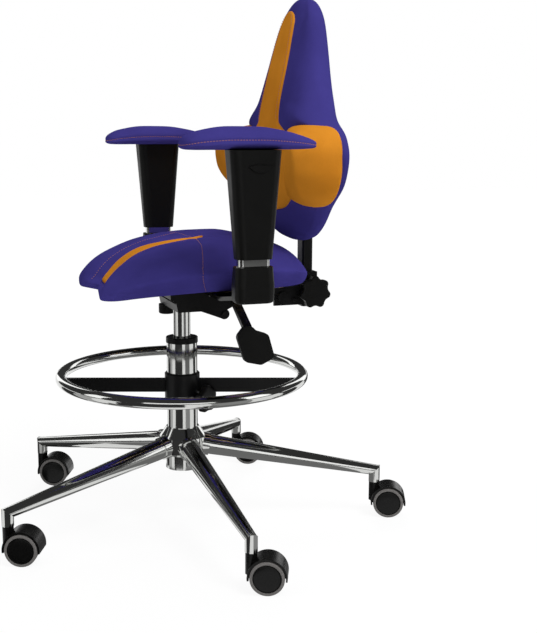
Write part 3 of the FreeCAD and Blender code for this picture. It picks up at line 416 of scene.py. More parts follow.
def post_finish():
    """Chrome on the arm posts, and black paint on the straps below them."""
    material = CHROME.copy()
    material.name = "chrome_post_black_strap"
    tree = material.node_tree
    shader = tree.nodes["Principled BSDF"]
    black = BLACK_METAL.node_tree.nodes["Principled BSDF"].inputs["Base Color"].default_value
    place = tree.nodes.new("ShaderNodeTexCoord")
    height = tree.nodes.new("ShaderNodeSeparateXYZ")
    above = tree.nodes.new("ShaderNodeMath")
    above.operation = "GREATER_THAN"
    above.inputs[1].default_value = STRAP_PAINT_TOP
    colour = tree.nodes.new("ShaderNodeValToRGB")
    colour.color_ramp.interpolation = "CONSTANT"
    colour.color_ramp.elements[0].color = black
    colour.color_ramp.elements[1].position = 0.5
    colour.color_ramp.elements[1].color = shader.inputs["Base Color"].default_value
    tree.links.new(place.outputs["Object"], height.inputs["Vector"])
    tree.links.new(height.outputs["Z"], above.inputs[0])
    shader.inputs["Specular IOR Level"].default_value = PAINT_GLOSS
    tree.links.new(above.outputs[0], shader.inputs["Metallic"])
    tree.links.new(above.outputs[0], colour.inputs["Fac"])
    tree.links.new(colour.outputs["Color"], shader.inputs["Base Color"])
    return material


def paint(material, *names):
    for name in names:
        nodes[name].data.materials.clear()
        nodes[name].data.materials.append(material)


paint(CHROME, "base_hub", "base_legs", "column_tube", "gas_cylinder", "foot_ring")
paint(post_finish(), "arm_post_left", "arm_post_right")
paint(BLACK_PLASTIC, "column_bushes", "foot_ring_liner", "foot_ring_knob", "tension_knob",
      "tilt_lever", "lift_lever", "back_knob")
for name, _ in SIDES:
    paint(BLACK_PLASTIC, "arm_base_" + name, "arm_sleeve_" + name, "arm_button_" + name)
for number in range(1, 6):
    paint(GLOSS_PLASTIC, "caster_hood_%d" % number)
    paint(STEEL, "caster_pins_%d" % number)
paint(BLACK_METAL, "mechanism_housing", "seat_plate", "tilt_latch", "back_arm", "back_upright",
      "foot_ring_bar", "foot_ring_clamp", "pivot_pin")
paint(STEEL, "piston_rod", "seat_screws")
paint(WOOD, "backrest_board", "seat_pan")


# Geometry Nodes: rows of stitches, and bolt heads

def tree_with(name, inputs):
    tree = bpy.data.node_groups.new(name, "GeometryNodeTree")
    tree.interface.new_socket("Geometry", in_out="INPUT", socket_type="NodeSocketGeometry")
    names = {}
    for socket, kind, value in inputs:
        made = tree.interface.new_socket(socket, in_out="INPUT", socket_type="NodeSocket" + kind)
        if value is not None:
            made.default_value = value
        names[socket] = made.identifier
    tree.interface.new_socket("Geometry", in_out="OUTPUT", socket_type="NodeSocketGeometry")
    return tree, names


def stitch_tree():
    """One short thread on each step of a line, along the line."""
    tree, names = tree_with("stitch_row", [
        ("Pitch", "Float", 0.004), ("Size", "Vector", (0.0005, 0.0005, 0.0014)),
        ("Thread", "Material", None)])
    new, wire = tree.nodes.new, tree.links.new
    given, made = new("NodeGroupInput"), new("NodeGroupOutput")
    line = new("GeometryNodeMeshToCurve")
    steps = new("GeometryNodeResampleCurve")
    steps.mode = "LENGTH"
    thread = new("GeometryNodeMeshUVSphere")
    thread.inputs["Segments"].default_value = 6
    thread.inputs["Rings"].default_value = 4
    thread.inputs["Radius"].default_value = 1.0
    along = new("GeometryNodeInputTangent")
    turn = new("FunctionNodeAlignRotationToVector")
    turn.axis = "Z"
    put = new("GeometryNodeInstanceOnPoints")
    real = new("GeometryNodeRealizeInstances")
    coloured = new("GeometryNodeSetMaterial")
    wire(given.outputs["Geometry"], line.inputs["Mesh"])
    wire(line.outputs["Curve"], steps.inputs["Curve"])
    wire(given.outputs["Pitch"], steps.inputs["Length"])
    wire(steps.outputs["Curve"], put.inputs["Points"])
    wire(thread.outputs["Mesh"], put.inputs["Instance"])
    wire(along.outputs["Tangent"], turn.inputs["Vector"])
    wire(turn.outputs["Rotation"], put.inputs["Rotation"])
    wire(given.outputs["Size"], put.inputs["Scale"])
    wire(put.outputs["Instances"], real.inputs["Geometry"])
    wire(real.outputs["Geometry"], coloured.inputs["Geometry"])
    wire(given.outputs["Thread"], coloured.inputs["Material"])
    wire(coloured.outputs["Geometry"], made.inputs["Geometry"])
    return tree, names


def bolt_tree():
    """A round head with a chamfered crown on each point, facing one way."""
    tree, names = tree_with("bolt_heads", [
        ("Radius", "Float", 0.005), ("Height", "Float", 0.003), ("Facing", "Vector", (1.0, 0.0, 0.0)),
        ("Head", "Material", None)])
    new, wire = tree.nodes.new, tree.links.new
    given, made = new("NodeGroupInput"), new("NodeGroupOutput")
    head = new("GeometryNodeMeshCylinder")
    head.inputs["Vertices"].default_value = 24
    wire(given.outputs["Radius"], head.inputs["Radius"])
    wire(given.outputs["Height"], head.inputs["Depth"])
    crown = new("GeometryNodeMeshCone")
    crown.inputs["Vertices"].default_value = 24
    sizes = {}
    for part, share in (("Radius Bottom", 1.0), ("Radius Top", 0.72), ("Depth", 0.16)):
        sizes[part] = new("ShaderNodeMath")
        sizes[part].operation = "MULTIPLY"
        sizes[part].inputs[1].default_value = share
        wire(given.outputs["Radius"], sizes[part].inputs[0])
        wire(sizes[part].outputs[0], crown.inputs[part])
    half = new("ShaderNodeMath")
    half.operation = "MULTIPLY"
    half.inputs[1].default_value = 0.5
    wire(given.outputs["Height"], half.inputs[0])
    lift = new("ShaderNodeCombineXYZ")
    wire(half.outputs[0], lift.inputs["Z"])
    raised = new("GeometryNodeTransform")
    wire(crown.outputs["Mesh"], raised.inputs["Geometry"])
    wire(lift.outputs["Vector"], raised.inputs["Translation"])
    both = new("GeometryNodeJoinGeometry")
    wire(head.outputs["Mesh"], both.inputs["Geometry"])
    wire(raised.outputs["Geometry"], both.inputs["Geometry"])
    turn = new("FunctionNodeAlignRotationToVector")
    turn.axis = "Z"
    wire(given.outputs["Facing"], turn.inputs["Vector"])
    put = new("GeometryNodeInstanceOnPoints")
    wire(given.outputs["Geometry"], put.inputs["Points"])
    wire(both.outputs["Geometry"], put.inputs["Instance"])
    wire(turn.outputs["Rotation"], put.inputs["Rotation"])
    real = new("GeometryNodeRealizeInstances")
    coloured = new("GeometryNodeSetMaterial")
    wire(put.outputs["Instances"], real.inputs["Geometry"])
    wire(real.outputs["Geometry"], coloured.inputs["Geometry"])
    wire(given.outputs["Head"], coloured.inputs["Material"])
    wire(coloured.outputs["Geometry"], made.inputs["Geometry"])
    return tree, names


STITCHES = stitch_tree()
BOLTS = bolt_tree()


def grown(name, lines, recipe, values):
    """Runs a Geometry Nodes tree on lines of points and keeps the result as a plain mesh."""
    verts, edges = [], []
    for points in lines:
        start = len(verts)
        verts += [tuple(p) for p in points]
        edges += [(i, i + 1) for i in range(start, len(verts) - 1)]
    mesh = bpy.data.meshes.new(name)
    mesh.from_pydata(verts, edges, [])
    piece = link(name, mesh)
    tree, names = recipe
    grow = piece.modifiers.new("grow", "NODES")
    grow.node_group = tree
    for socket, value in values.items():
        grow[names[socket]] = value
    view = bpy.context.evaluated_depsgraph_get()
    made = bpy.data.meshes.new_from_object(piece.evaluated_get(view))
    piece.modifiers.remove(grow)
    piece.data = made
    bpy.data.meshes.remove(mesh)
    return piece


STITCH_PITCH, SEAM_STEP = 0.0042, 0.002


def sew(name, lines, body):
    piece = grown(name, lines, STITCHES, {"Pitch": STITCH_PITCH, "Thread": THREAD})
    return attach(piece, body)


# Backrest: height, half width, side front, middle front, rear, wrap of the rear
BACK_ROWS = [
    (457, 12, 202, 195, 209, 0.5), (461, 31, 199, 188, 212, 1), (468, 59, 193, 173, 217, 4),
    (488, 95, 187, 157, 222, 9), (520, 134, 183, 149, 226, 16), (560, 184, 186, 146, 227, 19),
    (600, 202, 188, 146, 227, 22), (630, 184, 184, 146, 227, 19), (652, 136, 152, 147, 227, 5),
    (680, 115, 162, 152, 226, 2), (720, 97, 171, 160, 226, 2), (765, 83, 181, 170, 225, 2),
    (805, 68, 189, 180, 224, 2), (830, 49, 197, 189, 221, 2), (842, 27, 203, 197, 216, 1),
    (846, 9, 206, 204, 210, 0.5),
]
BACK_LEVELS = levels((457, 470, 6), (475, 835, 73), (838, 846, 5))
BACK_ROUND = 0.42
FACE_POINTS, EDGE_POINTS = 45, 15
BACK_SEWN_Y, BACK_SWELL = 0.2, 0.003


def back_ring(z, half, side, mid, rear, wrap):
    rear_side = rear - wrap
    flat = half - BACK_ROUND * (rear_side - side)
    middle, deep = (side + rear_side) / 2, (rear_side - side) / 2
    across = np.linspace(-1, 1, FACE_POINTS)
    round_edge = np.linspace(-math.pi / 2, math.pi / 2, EDGE_POINTS)
    ring = [(flat * u, mid + (side - mid) * u * u, z) for u in across[:-1]]
    ring += [(flat + (half - flat) * math.cos(t), middle + deep * math.sin(t), z) for t in round_edge[:-1]]
    ring += [(flat * u, rear - wrap * u * u, z) for u in across[:0:-1]]
    ring += [(-flat - (half - flat) * math.cos(t), middle + deep * math.sin(t), z)
             for t in round_edge[:0:-1]]
    return ring


rings = [back_ring(*row) for row in between_rows(BACK_ROWS, BACK_LEVELS)]
back_body = ring_skin("backrest_body", rings, [BLUE])
relax(back_body, 3)
puff(back_body, coords(back_body)[:, 1] > BACK_SEWN_Y, BACK_SWELL)
subdivide(back_body)

# Lumbar wings: height, outer X, tip X, tip Y
WING_ROWS = [
    (517, 118, 106, 187), (524, 148, 132, 171), (535, 171, 153, 148), (552, 189, 171, 129),
    (578, 200, 185, 117), (606, 201, 186, 114), (628, 192, 174, 124), (641, 172, 154, 143),
    (649, 140, 122, 166),
]
WING_LEVELS = levels((517, 649, 34))
WING_ROOT_X, WING_ROOT_Y, WING_REAR_Y = 79.0, 150.0, 195.0
WING_BULGE = 7
WING_SEWN_Y, WING_SWELL = 0.188, 0.004


def wing_ring(z, outer, tip_x, tip_y, side):
    root = (WING_ROOT_X, max(WING_ROOT_Y, tip_y))
    swell = ((outer + tip_x) / 2 + WING_BULGE, (WING_REAR_Y + tip_y) / 2 - WING_BULGE)
    bulge = ((root[0] + tip_x) / 2, (root[1] + tip_y) / 2 - WING_BULGE)
    ring = [(x, WING_REAR_Y) for x in np.linspace(root[0], outer, 20)[:-1]]
    ring += arc_points((outer, WING_REAR_Y), swell, (tip_x, tip_y), 24)[:-1]
    ring += arc_points((tip_x, tip_y), bulge, root, 34)[:-1]
    ring += [(root[0], y) for y in np.linspace(root[1], WING_REAR_Y, 8)[:-1]]
    return [(side * x, y, z) for x, y in ring]


wings = []
for name, side in SIDES:
    rings = [wing_ring(*row, side) for row in between_rows(WING_ROWS, WING_LEVELS)]
    wing = ring_skin("lumbar_wing_" + name, rings, [ORANGE])
    relax(wing, 8)
    puff(wing, coords(wing)[:, 1] > WING_SEWN_Y, WING_SWELL)
    subdivide(wing)
    wings.append(wing)

# Spine strip and lumbar middle: height, half width
STRIP_ROWS = [
    (509, 4), (511, 30), (516, 56), (523, 68), (532, 79), (545, 86), (575, 89), (612, 89), (630, 80),
    (641, 62), (652, 46), (690, 41), (745, 38), (790, 31), (808, 26), (820, 16), (825, 4),
]
STRIP_LEVELS = levels((509, 825, 110))
STRIP_PROUD, STRIP_SINK, STRIP_ACROSS = 0.0030, 0.003, 28
BACK_MISS_Y = 0.2
back_surface = surface(back_body)


def on_front(x, z):
    hit = back_surface.ray_cast(Vector((x, 0, z)), Vector((0, 1, 0)))[0]
    return hit.y if hit else BACK_MISS_Y


def spine_point(z, x, out, face):
    """A point of the strip, whose face falls off near its edge, where out is 1."""
    return x, on_front(x, z) + (-STRIP_PROUD * (1 - out ** 8) ** 0.5 if face else STRIP_SINK), z


strip_rows = between_rows(STRIP_ROWS, STRIP_LEVELS) * MM
spine = strip_piece("spine_strip_cover", strip_rows, STRIP_ACROSS, spine_point, ORANGE)

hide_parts("backrest_cushion", "backrest_cover")
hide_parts("lumbar_wings")
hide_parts("spine_strip")
for piece, slot in ((back_body, "blue_fabric"), (wings[0], "orange_fabric"), (wings[1], "orange_fabric"),
                    (spine, "orange_fabric")):
    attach(piece, "backrest")

# A row of stitches inside each edge of the strip, above the lumbar middle
STITCH_INSET, STITCH_PROUD = 0.004, STRIP_PROUD + 0.0002
STITCH_LOW_Z, STITCH_HALF = 0.655, 0.006
strip_edges = []
for side in (-1, 1):
    upper = [(side * (half - STITCH_INSET), z) for z, half in strip_rows
             if z > STITCH_LOW_Z and half > STITCH_HALF]
    strip_edges.append(even([(x, on_front(x, z) - STITCH_PROUD, z) for x, z in upper], SEAM_STEP))
sew("strip_stitches", strip_edges, "backrest")

# Seat: place along Y, half width, underside, crest of the lobes, channel half width, channel depth
SEAT_ROWS = [
    (-148, 82, 388, 401, 22, 2), (-146, 98, 385.5, 407, 23, 3.5), (-141, 116, 384.5, 414.5, 24, 4.5),
    (-131, 138, 385.5, 425, 24, 4.5), (-116, 154, 388, 436, 23, 4.5), (-100, 163, 390.5, 444, 23, 4.5),
    (-45, 188, 396.5, 462, 21, 4.5), (15, 203, 400, 470, 12, 4.5), (38, 204, 400, 471, 3, 2),
    (75, 203, 400, 471, 3, 1.2), (120, 184, 400, 463, 3, 0.8), (155, 149, 398.5, 451, 3, 0.6),
    (173, 117, 398, 437, 3, 0.4), (181, 90, 398.5, 424, 3, 0.3), (185, 62, 402, 413, 3, 0.2),
]
SEAT_LEVELS = levels((-148, -140, 7), (-136, 172, 70), (175, 185, 6))
# The front edge runs back in the middle, and its lower half stands forward
NOTCH_HALF, NOTCH_DEPTH, CHIN = 90.0, 26.0, 6.0
NOTCH_START_Y, NOTCH_RUN = -60, 88
FLAT_SHARE, RISE_SHARE = 0.7, 0.5
LOBE_PEAK, LOBE_FALL = 0.42, 0.06
CHANNEL_WALL = 1.6
SEAT_SEWN_Y, SEAT_UNDER_Z, SEAT_SWELL = 0.05, 0.404, 0.0015
RAY_TOP, RAY_SIDE, SEAT_MISS_Z = 0.6, 0.3, 0.4


def seat_ring(y, half, low, crest, channel, depth):
    tall = crest - low
    rim = crest - LOBE_FALL * tall
    flat, rise = FLAT_SHARE * half, RISE_SHARE * tall
    reach = half - flat
    r = (reach ** 2 + rise ** 2) / (2 * rise)
    turn = math.asin(min(1, reach / r)) / 2
    side = (flat + r * math.sin(turn), low + r * (1 - math.cos(turn)))
    right = [(x, low) for x in np.linspace(0, flat, 16)[:-1]]
    right += arc_points((flat, low), side, (half, low + rise), 14)[:-1]
    right += arc_points((half, low + rise), (LOBE_PEAK * half, crest), (channel, rim), 42)[:-1]
    foot = channel - CHANNEL_WALL
    right += [(x, rim - depth * min(1, (channel - x) / CHANNEL_WALL)) for x in (channel, foot)]
    right += [(x, rim - depth) for x in np.linspace(foot, 0, 6)[1:-1]]
    ring = right + [(0, rim - depth)] + [(-x, z) for x, z in reversed(right[1:])]
    front = min(1, max(0, (NOTCH_START_Y - y) / NOTCH_RUN))
    front = front * front * (3 - 2 * front)
    moved = []
    for x, z in ring:
        lag = NOTCH_DEPTH * max(0, 1 - (x / NOTCH_HALF) ** 2) ** 2 - CHIN * (crest - z) / tall
        moved.append((x, y + front * lag, z))
    return moved


rings = [seat_ring(*row) for row in between_rows(SEAT_ROWS, SEAT_LEVELS)]
seat = ring_skin("seat_cover", rings, [BLUE])
places = coords(seat)
rows_y, rows_channel = (np.array(SEAT_ROWS)[:, i] * MM for i in (0, 4))
channel_half = np.interp(places[:, 1], rows_y, rows_channel)
sewn = (abs(places[:, 0]) < channel_half + MM) & (places[:, 1] < SEAT_SEWN_Y)
relax(seat, 2, held=sewn)
under = coords(seat)[:, 2] < SEAT_UNDER_Z
puff(seat, sewn | under, SEAT_SWELL)
subdivide(seat)
seat_surface = surface(seat)


def on_seat(x, y):
    hit = seat_surface.ray_cast(Vector((x * MM, y * MM, RAY_TOP)), Vector((0, 0, -1)))[0]
    return hit if hit else Vector((x * MM, y * MM, SEAT_MISS_Z))


def beside_seat(side, y, z):
    hit = seat_surface.ray_cast(Vector((side * RAY_SIDE, y * MM, z * MM)), Vector((-side, 0, 0)))[0]
    return hit if hit else on_seat(side * SEAM_TURN_X, y)


# Sewn lines of the seat: back from the inlay's tip, along each lobe, and across each lobe and down its
# side. Each table is a line's own run and its place across that.
SEAM_TURN_X = 182
MIDDLE_SEAM = (40, 150, 40)
LOBE_SEAM = [(-137, 46), (-98, 45), (-58, 46), (-30, 49), (9, 60)]
CROSS_SEAM = [(12, 22), (45, 12), (75, 6), (105, 2), (150, -9), (SEAM_TURN_X, -18)]
SIDE_SEAM = [(404, -8), (415, -16), (431, -21), (441, -18.5)]
SEAM_DEEP, SEAT_SEAM_WIDE, PAD_SEAM_WIDE = 0.0010, 0.003, 0.0025


def seat_seams():
    lines = [[on_seat(0, y) for y in levels(MIDDLE_SEAM)]]
    lobe = between_rows(LOBE_SEAM, levels((-137, 9, 60)))
    cross = between_rows(CROSS_SEAM, levels((12, SEAM_TURN_X, 60)))
    down = between_rows(SIDE_SEAM, levels((441, 404, 20)))
    for _, side in SIDES:
        lines.append([on_seat(side * x, y) for y, x in lobe])
        lines.append([on_seat(side * x, y) for x, y in cross] + [beside_seat(side, y, z) for z, y in down])
    return [even(line, SEAM_STEP) for line in lines]


for line in seat_seams():
    press_line(seat, line, SEAM_DEEP, SEAT_SEAM_WIDE)
seat_surface = surface(seat)
seams = seat_seams()

# Inlay in the channel: a crowned strip from the front edge to a point. Place along Y, half width
INLAY_ROWS = [(-125, 23), (-116, 23), (-100, 22.5), (-45, 20.5), (15, 11.5), (36, 2)]
INLAY_CROWN, INLAY_SINK, INLAY_ACROSS = 0.0054, 0.002, 13


def inlay_point(y, x, out, face):
    p = on_seat(x, y)
    return p.x, p.y, p.z + (INLAY_CROWN * (1 - out ** 6) if face else -INLAY_SINK)


inlay_rows = between_rows(INLAY_ROWS, levels((-125, 36, 80)))
inlay = strip_piece("seat_inlay_cover", inlay_rows, INLAY_ACROSS, inlay_point, ORANGE)

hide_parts("seat_cushion")
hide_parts("seat_inlay")
for piece, slot in ((seat, "blue_fabric"), (inlay, "orange_fabric")):
    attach(piece, "seat_frame")
sew("seat_stitches", seams, "seat_frame")

# Arm pads: place along Y, half width, top, underside
PAD_ROWS = [
    (-68, 8, 621, 617), (-66, 18, 626, 614.5), (-60, 26, 631, 612.5), (-45, 33, 637.5, 612),
    (0, 37, 644, 612), (40, 37, 643.5, 612), (80, 35, 638, 612), (108, 29, 630.5, 612.3),
    (121, 22, 626, 613), (127, 15, 623, 614.2), (129, 8, 620.5, 615.8),
]
PAD_LEVELS = levels((-68, -58, 8), (-54, 116, 44), (119, 129, 8))
PAD_X, PAD_WIDEST, PAD_POINTS = 242.0, 0.42, 64
SIDE_POWER, TOP_POWER, UNDER_POWER = 0.8, 0.95, 0.45
PAD_UNDER_Z, PAD_SWELL = 0.6135, 0.002
RIM_OUT = 0.1


def widest_z(top, low):
    return low + PAD_WIDEST * (top - low)


def pad_ring(y, half, top, low, side):
    widest = widest_z(top, low)
    ring = []
    for t in np.linspace(0, 2 * math.pi, PAD_POINTS, endpoint=False):
        c, s = math.cos(t), math.sin(t)
        x = half * math.copysign(abs(c) ** SIDE_POWER, c)
        if s >= 0:
            z = widest + (top - widest) * abs(s) ** TOP_POWER
        else:
            z = widest - (widest - low) * abs(s) ** UNDER_POWER
        ring.append((side * (PAD_X + x), y, z))
    return ring


for name, side in SIDES:
    rows = between_rows(PAD_ROWS, PAD_LEVELS)
    pad = ring_skin("arm_pad_cover_" + name, [pad_ring(*row, side) for row in rows], [BLUE])
    puff(pad, coords(pad)[:, 2] < PAD_UNDER_Z, PAD_SWELL)
    subdivide(pad)
    rim = []
    for sign in (1, -1):
        run = [(side * (PAD_X + sign * (half + RIM_OUT)), y, widest_z(top, low))
               for y, half, top, low in rows]
        rim += run if sign > 0 else run[::-1]
    line = even([Vector(p) * MM for p in rim + rim[:1]], SEAM_STEP)
    press_line(pad, line, SEAM_DEEP, PAD_SEAM_WIDE)
    cover = surface(pad)
    line = [cover.find_nearest(p)[0] for p in line]
    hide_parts("arm_pad_" + name)
    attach(pad, "arm_" + name)
    sew("arm_pad_stitches_" + name, [line], "arm_" + name)

# Castor wheels: a grey tyre on a black disc, turned about the axle. Radius, place along the axle
WHEEL_R, RIM_R = 25.0, 20.5
TYRE_PROFILE = [
    (RIM_R, -7), (23.2, -7), (24.4, -6.5), (24.9, -5.4), (WHEEL_R, -3), (WHEEL_R, 3), (24.9, 5.4),
    (24.4, 6.5), (23.4, 7), (21.2, 7), (RIM_R, 6.4),
]
DISC_PROFILE = [(RIM_R, 6.4), (20.2, 5.6), (19.6, 5.4), (18.9, 5.9), (18.2, 6.2), (8, 6.4), (0, 6.4)]
INNER_PROFILE = [(RIM_R, -7), (19.5, -6.2), (6, -6.2), (5.6, -7), (0, -7)]
TURNS, SHARP = 64, math.radians(40)
WHEEL_OUT = 14


def wheel_piece(name, centre, outwards):
    outwards = Vector(outwards).normalized()
    up = Vector((0, 0, 1))
    beside = outwards.cross(up)
    verts, faces, finish = [], [], []
    for profile, number in ((TYRE_PROFILE, 0), (DISC_PROFILE, 1), (INNER_PROFILE, 1)):
        start = len(verts)
        for r, along in profile:
            for j in range(TURNS):
                t = 2 * math.pi * j / TURNS
                radial = up * math.sin(t) + beside * math.cos(t)
                verts.append(centre + (outwards * along + radial * r) * MM)
        for i in range(len(profile) - 1):
            for j in range(TURNS):
                k = (j + 1) % TURNS
                a = start + i * TURNS
                faces.append((a + j, a + k, a + TURNS + k, a + TURNS + j))
                finish.append(number)
    wheel = mesh_piece(name, verts, faces, [TYRE, GLOSS_PLASTIC], finish=finish)
    wheel.data.set_sharp_from_angle(angle=SHARP)
    return wheel


for joint in frame["joints"]:
    if not joint["name"].startswith("wheel_spin"):
        continue
    node = joint["child"].replace("wheel", "caster_wheel")
    low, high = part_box(node)
    middle = (Vector(low) + Vector(high)) / 2
    axle, axis = Vector(joint["pos_m"]), Vector(joint["axis"])
    outwards = axis * (1 if (middle - axle).dot(axis) > 0 else -1)
    wheel = wheel_piece(node + "_turned", axle + outwards * WHEEL_OUT * MM, outwards)
    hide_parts(node)
    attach(wheel, joint["child"])

# Bolt heads of the back arm and its clamp block
SIDE_BOLTS = [(0.0224, 0.2145, 0.397), (0.0224, 0.187, 0.361)]
BOLT_HEAD = {"Radius": 0.0035, "Height": 0.003, "Head": BLACK_METAL}
bolts = grown("back_arm_bolts", [[p] for p in SIDE_BOLTS], BOLTS, BOLT_HEAD)
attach(bolts, "back_arm")


# Floor, light and camera

def floor_finish():
    """Pale floor that shows as white to the camera and in the chrome, with a faint shadow."""
    material, tree, shader = finish_of("pale_floor")
    shader.inputs["Base Color"].default_value = (0.85, 0.85, 0.85, 1)
    shader.inputs["Roughness"].default_value = 0.9
    shader.inputs["Specular IOR Level"].default_value = 0.0
    white = tree.nodes.new("ShaderNodeEmission")
    white.inputs["Strength"].default_value = 1.02
    place = tree.nodes.new("ShaderNodeTexCoord")
    distance = tree.nodes.new("ShaderNodeVectorMath")
    distance.operation = "LENGTH"
    rise = tree.nodes.new("ShaderNodeMapRange")
    for socket, value in FLOOR_FADE:
        rise.inputs[socket].default_value = value
    share = tree.nodes.new("ShaderNodeMath")
    share.operation = "MULTIPLY"
    mix = tree.nodes.new("ShaderNodeMixShader")
    tree.links.new(place.outputs["Object"], distance.inputs[0])
    tree.links.new(distance.outputs["Value"], rise.inputs["Value"])
    tree.links.new(seen_directly(tree, tree.nodes.new("ShaderNodeLightPath")), share.inputs[0])
    tree.links.new(rise.outputs["Result"], share.inputs[1])
    tree.links.new(share.outputs[0], mix.inputs["Fac"])
    tree.links.new(shader.outputs["BSDF"], mix.inputs[1])
    tree.links.new(white.outputs["Emission"], mix.inputs[2])
    tree.links.new(mix.outputs["Shader"], tree.nodes["Material Output"].inputs["Surface"])
    return material


def seen_directly(tree, path):
    """1 for camera, glossy and transmission rays."""
    total = path.outputs["Is Camera Ray"]
    for kind in ("Is Glossy Ray", "Is Transmission Ray"):
        either = tree.nodes.new("ShaderNodeMath")
        either.operation = "MAXIMUM"
        tree.links.new(total, either.inputs[0])
        tree.links.new(path.outputs[kind], either.inputs[1])
        total = either.outputs[0]
    return total


FLOOR = 8.0
FLOOR_FADE = (("From Min", 0.5), ("From Max", 1.6), ("To Min", 0.9), ("To Max", 1.0))
corners = [(x * FLOOR, y * FLOOR, 0) for x, y in ((-1, -1), (1, -1), (1, 1), (-1, 1))]
card = mesh_piece("floor", corners, [(0, 1, 2, 3)], [floor_finish()], smooth=False)

# A dark shell with glowing windows round the set, and dark and grey cards on the floor, which only shiny
# surfaces see. They glow though they are no lamps, and paint bright and dark reflections into the chrome.
# Azimuths start at the camera's side and run to its right; angles are in degrees.
# Windows: azimuths, elevations, level. Floor greys: azimuths, reach, level. Near greys: azimuths, level.
# In the floor's gaps the white floor itself shows.
SHELL_R, CELL = 4.0, 5
SHELL_LOW, SHELL_HIGH = 5, 90
CARD_NEAR, CARD_MID, CARD_HEIGHT = 0.3, 0.9, 0.002
TO_CAMERA = Vector((0.9333, -0.3161, 0.1707)).normalized()
CAMERA_AZIMUTH = math.degrees(math.atan2(TO_CAMERA.y, TO_CAMERA.x))
# Glow strengths of the painted reflections: shell windows, floor greys and near greys.
WINDOWS = [("front", -30, 30, 5, 20, 1.3), ("right", 60, 85, 5, 40, 1.6),
           ("left", -90, -70, 5, 40, 1.4), ("rear_left", -155, -140, 5, 40, 1.5),
           ("rear_right", 140, 155, 5, 40, 1.5)]
FLOOR_GAPS = [(-160, -125), (-75, -50), (5, 25), (120, 140), (-180, -165), (165, 180)]
DARK_LEVEL, NEAR_LEVEL = 0.04, 0.2
FLOOR_GREYS = [("mid", 25, 60, CARD_MID, SHELL_R, 0.17), ("inner", 25, 60, CARD_NEAR, CARD_MID, 0.32),
               ("right", 60, 95, CARD_NEAR, SHELL_R, 1.0),
               ("left", -100, -75, CARD_NEAR, SHELL_R, 0.5)]
NEAR_GREYS = [("left", -130, -100, 1.0), ("front", -40, 15, 1.0)]
OPEN_REAR = 100


def round_the_set(azimuth, reach, height):
    a = math.radians(CAMERA_AZIMUTH + azimuth)
    return (reach * math.cos(a), reach * math.sin(a), height)


def on_shell(azimuth, elevation):
    h = math.radians(elevation)
    return round_the_set(azimuth, SHELL_R * math.cos(h), SHELL_R * math.sin(h))


def shell_cell(a, h):
    return [on_shell(a + i, h + j) for i, j in ((0, 0), (CELL, 0), (CELL, CELL), (0, CELL))]


def floor_cell(a, near, far):
    corners = ((0, near), (0, far), (CELL, far), (CELL, near))
    return [round_the_set(a + i, r, CARD_HEIGHT) for i, r in corners]


# A glowing card, no lamp: shiny surfaces show it as a painted reflection, bright or dark by its strength.
def glow(name, strength):
    material, tree, shader = finish_of(name)
    shader.inputs["Base Color"].default_value = (0, 0, 0, 1)
    shader.inputs["Specular IOR Level"].default_value = 0.0
    shader.inputs["Emission Color"].default_value = (1, 1, 1, 1)
    shader.inputs["Emission Strength"].default_value = strength
    return material


def cards(name, cells, material):
    verts = [p for cell in cells for p in cell]
    faces = [range(4 * i, 4 * i + 4) for i in range(len(cells))]
    piece = mesh_piece(name, verts, faces, [material], smooth=False)
    piece.visible_camera = piece.visible_diffuse = False
    piece.visible_shadow = piece.visible_transmission = False


all_round = range(-180, 180, CELL)
dark_cells = [(a, h) for a in all_round
              for h in range(0 if abs(a) < OPEN_REAR else SHELL_LOW, SHELL_HIGH, CELL)]
# Painted reflections: glowing windows in the shell, seen only by shiny surfaces.
for name, a0, a1, h0, h1, strength in WINDOWS:
    glow_cells = [(a, h) for a, h in dark_cells if a0 <= a < a1 and h0 <= h < h1]
    dark_cells = [cell for cell in dark_cells if cell not in glow_cells]
    reflection_glow = glow("reflection_glow_" + name, strength)
    cards("window_" + name, [shell_cell(*cell) for cell in glow_cells], reflection_glow)
# Painted dark reflection: a faintly glowing dark shell and dark floor cards that only shiny surfaces see.
dark = glow("dark_card", DARK_LEVEL)
cards("dark_shell", [shell_cell(*cell) for cell in dark_cells], dark)
lit = [a for low, high in FLOOR_GAPS for a in range(low, high, CELL)]
# Painted reflections on the floor: glowing grey cards round the chair that only shiny surfaces see.
near = list(all_round)
for name, a0, a1, strength in NEAR_GREYS:
    cards("near_floor_" + name, [floor_cell(a, 0, CARD_NEAR) for a in range(a0, a1, CELL)],
          glow("near_card_" + name, strength))
    near = [a for a in near if not a0 <= a < a1]
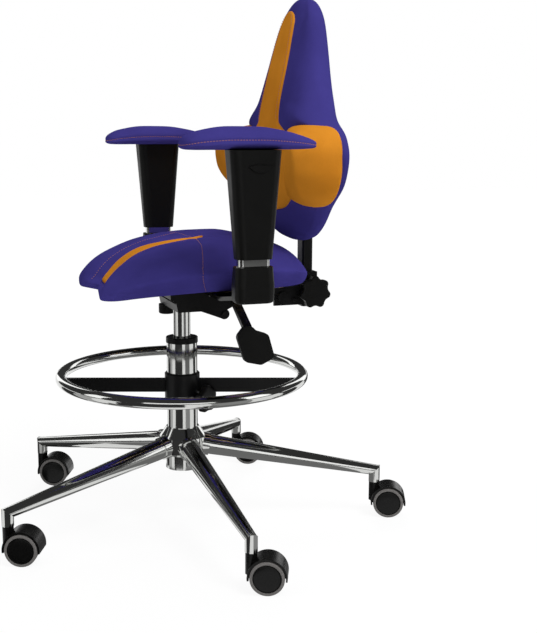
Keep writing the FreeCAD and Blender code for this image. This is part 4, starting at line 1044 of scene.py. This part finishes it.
cards("near_floor_cards", [floor_cell(a, 0, CARD_NEAR) for a in near], glow("near_card", NEAR_LEVEL))
for name, a0, a1, r0, r1, strength in FLOOR_GREYS:
    cards("grey_floor_" + name, [floor_cell(a, r0, r1) for a in range(a0, a1, CELL)],
          glow("grey_card_" + name, strength))
    lit += range(a0, a1, CELL)
cards("dark_floor_cards", [floor_cell(a, CARD_NEAR, SHELL_R) for a in all_round if a not in lit], dark)

AMBIENT = 0.52
world = bpy.data.worlds.new("studio")
scene.world = world
world.use_nodes = True
tree = world.node_tree
sky = tree.nodes["Background"]
sky.inputs["Color"].default_value = (1, 1, 1, 1)
path = tree.nodes.new("ShaderNodeLightPath")
level = tree.nodes.new("ShaderNodeMapRange")
level.inputs["To Min"].default_value = AMBIENT
level.inputs["To Max"].default_value = 1.0
tree.links.new(seen_directly(tree, path), level.inputs["Value"])
tree.links.new(level.outputs["Result"], sky.inputs["Strength"])


def soft_lamp(name, place, target, size, power):
    """A round soft light that shiny surfaces don't mirror."""
    lamp = bpy.data.lights.new(name, "AREA")
    lamp.shape = "DISK"
    lamp.size = size
    lamp.energy = power
    holder = bpy.data.objects.new(name, lamp)
    holder.location = place
    holder.rotation_euler = (Vector(target) - Vector(place)).to_track_quat("-Z", "Y").to_euler()
    holder.visible_glossy = False
    scene.collection.objects.link(holder)


soft_lamp("key", (1.7, 0.9, 2.7), (0, 0, 0.4), 1.4, 55)
soft_lamp("fill", (0.6, -2.6, 1.5), (0, 0, 0.4), 1.6, 6)
soft_lamp("rim", (-2.2, 0.9, 2.0), (0, 0, 0.5), 1.2, 26)

# The camera of the photograph
camera = bpy.data.objects.new("camera", bpy.data.cameras.new("camera"))
camera.location = (1.7030, -0.4767, 0.6450)
camera.rotation_euler = (-TO_CAMERA).to_track_quat("-Z", "Y").to_euler()
camera.data.sensor_width = 36
camera.data.lens = 62.72
camera.data.shift_x = 0.0450
scene.collection.objects.link(camera)
scene.camera = camera
scene.view_settings.view_transform = "Standard"
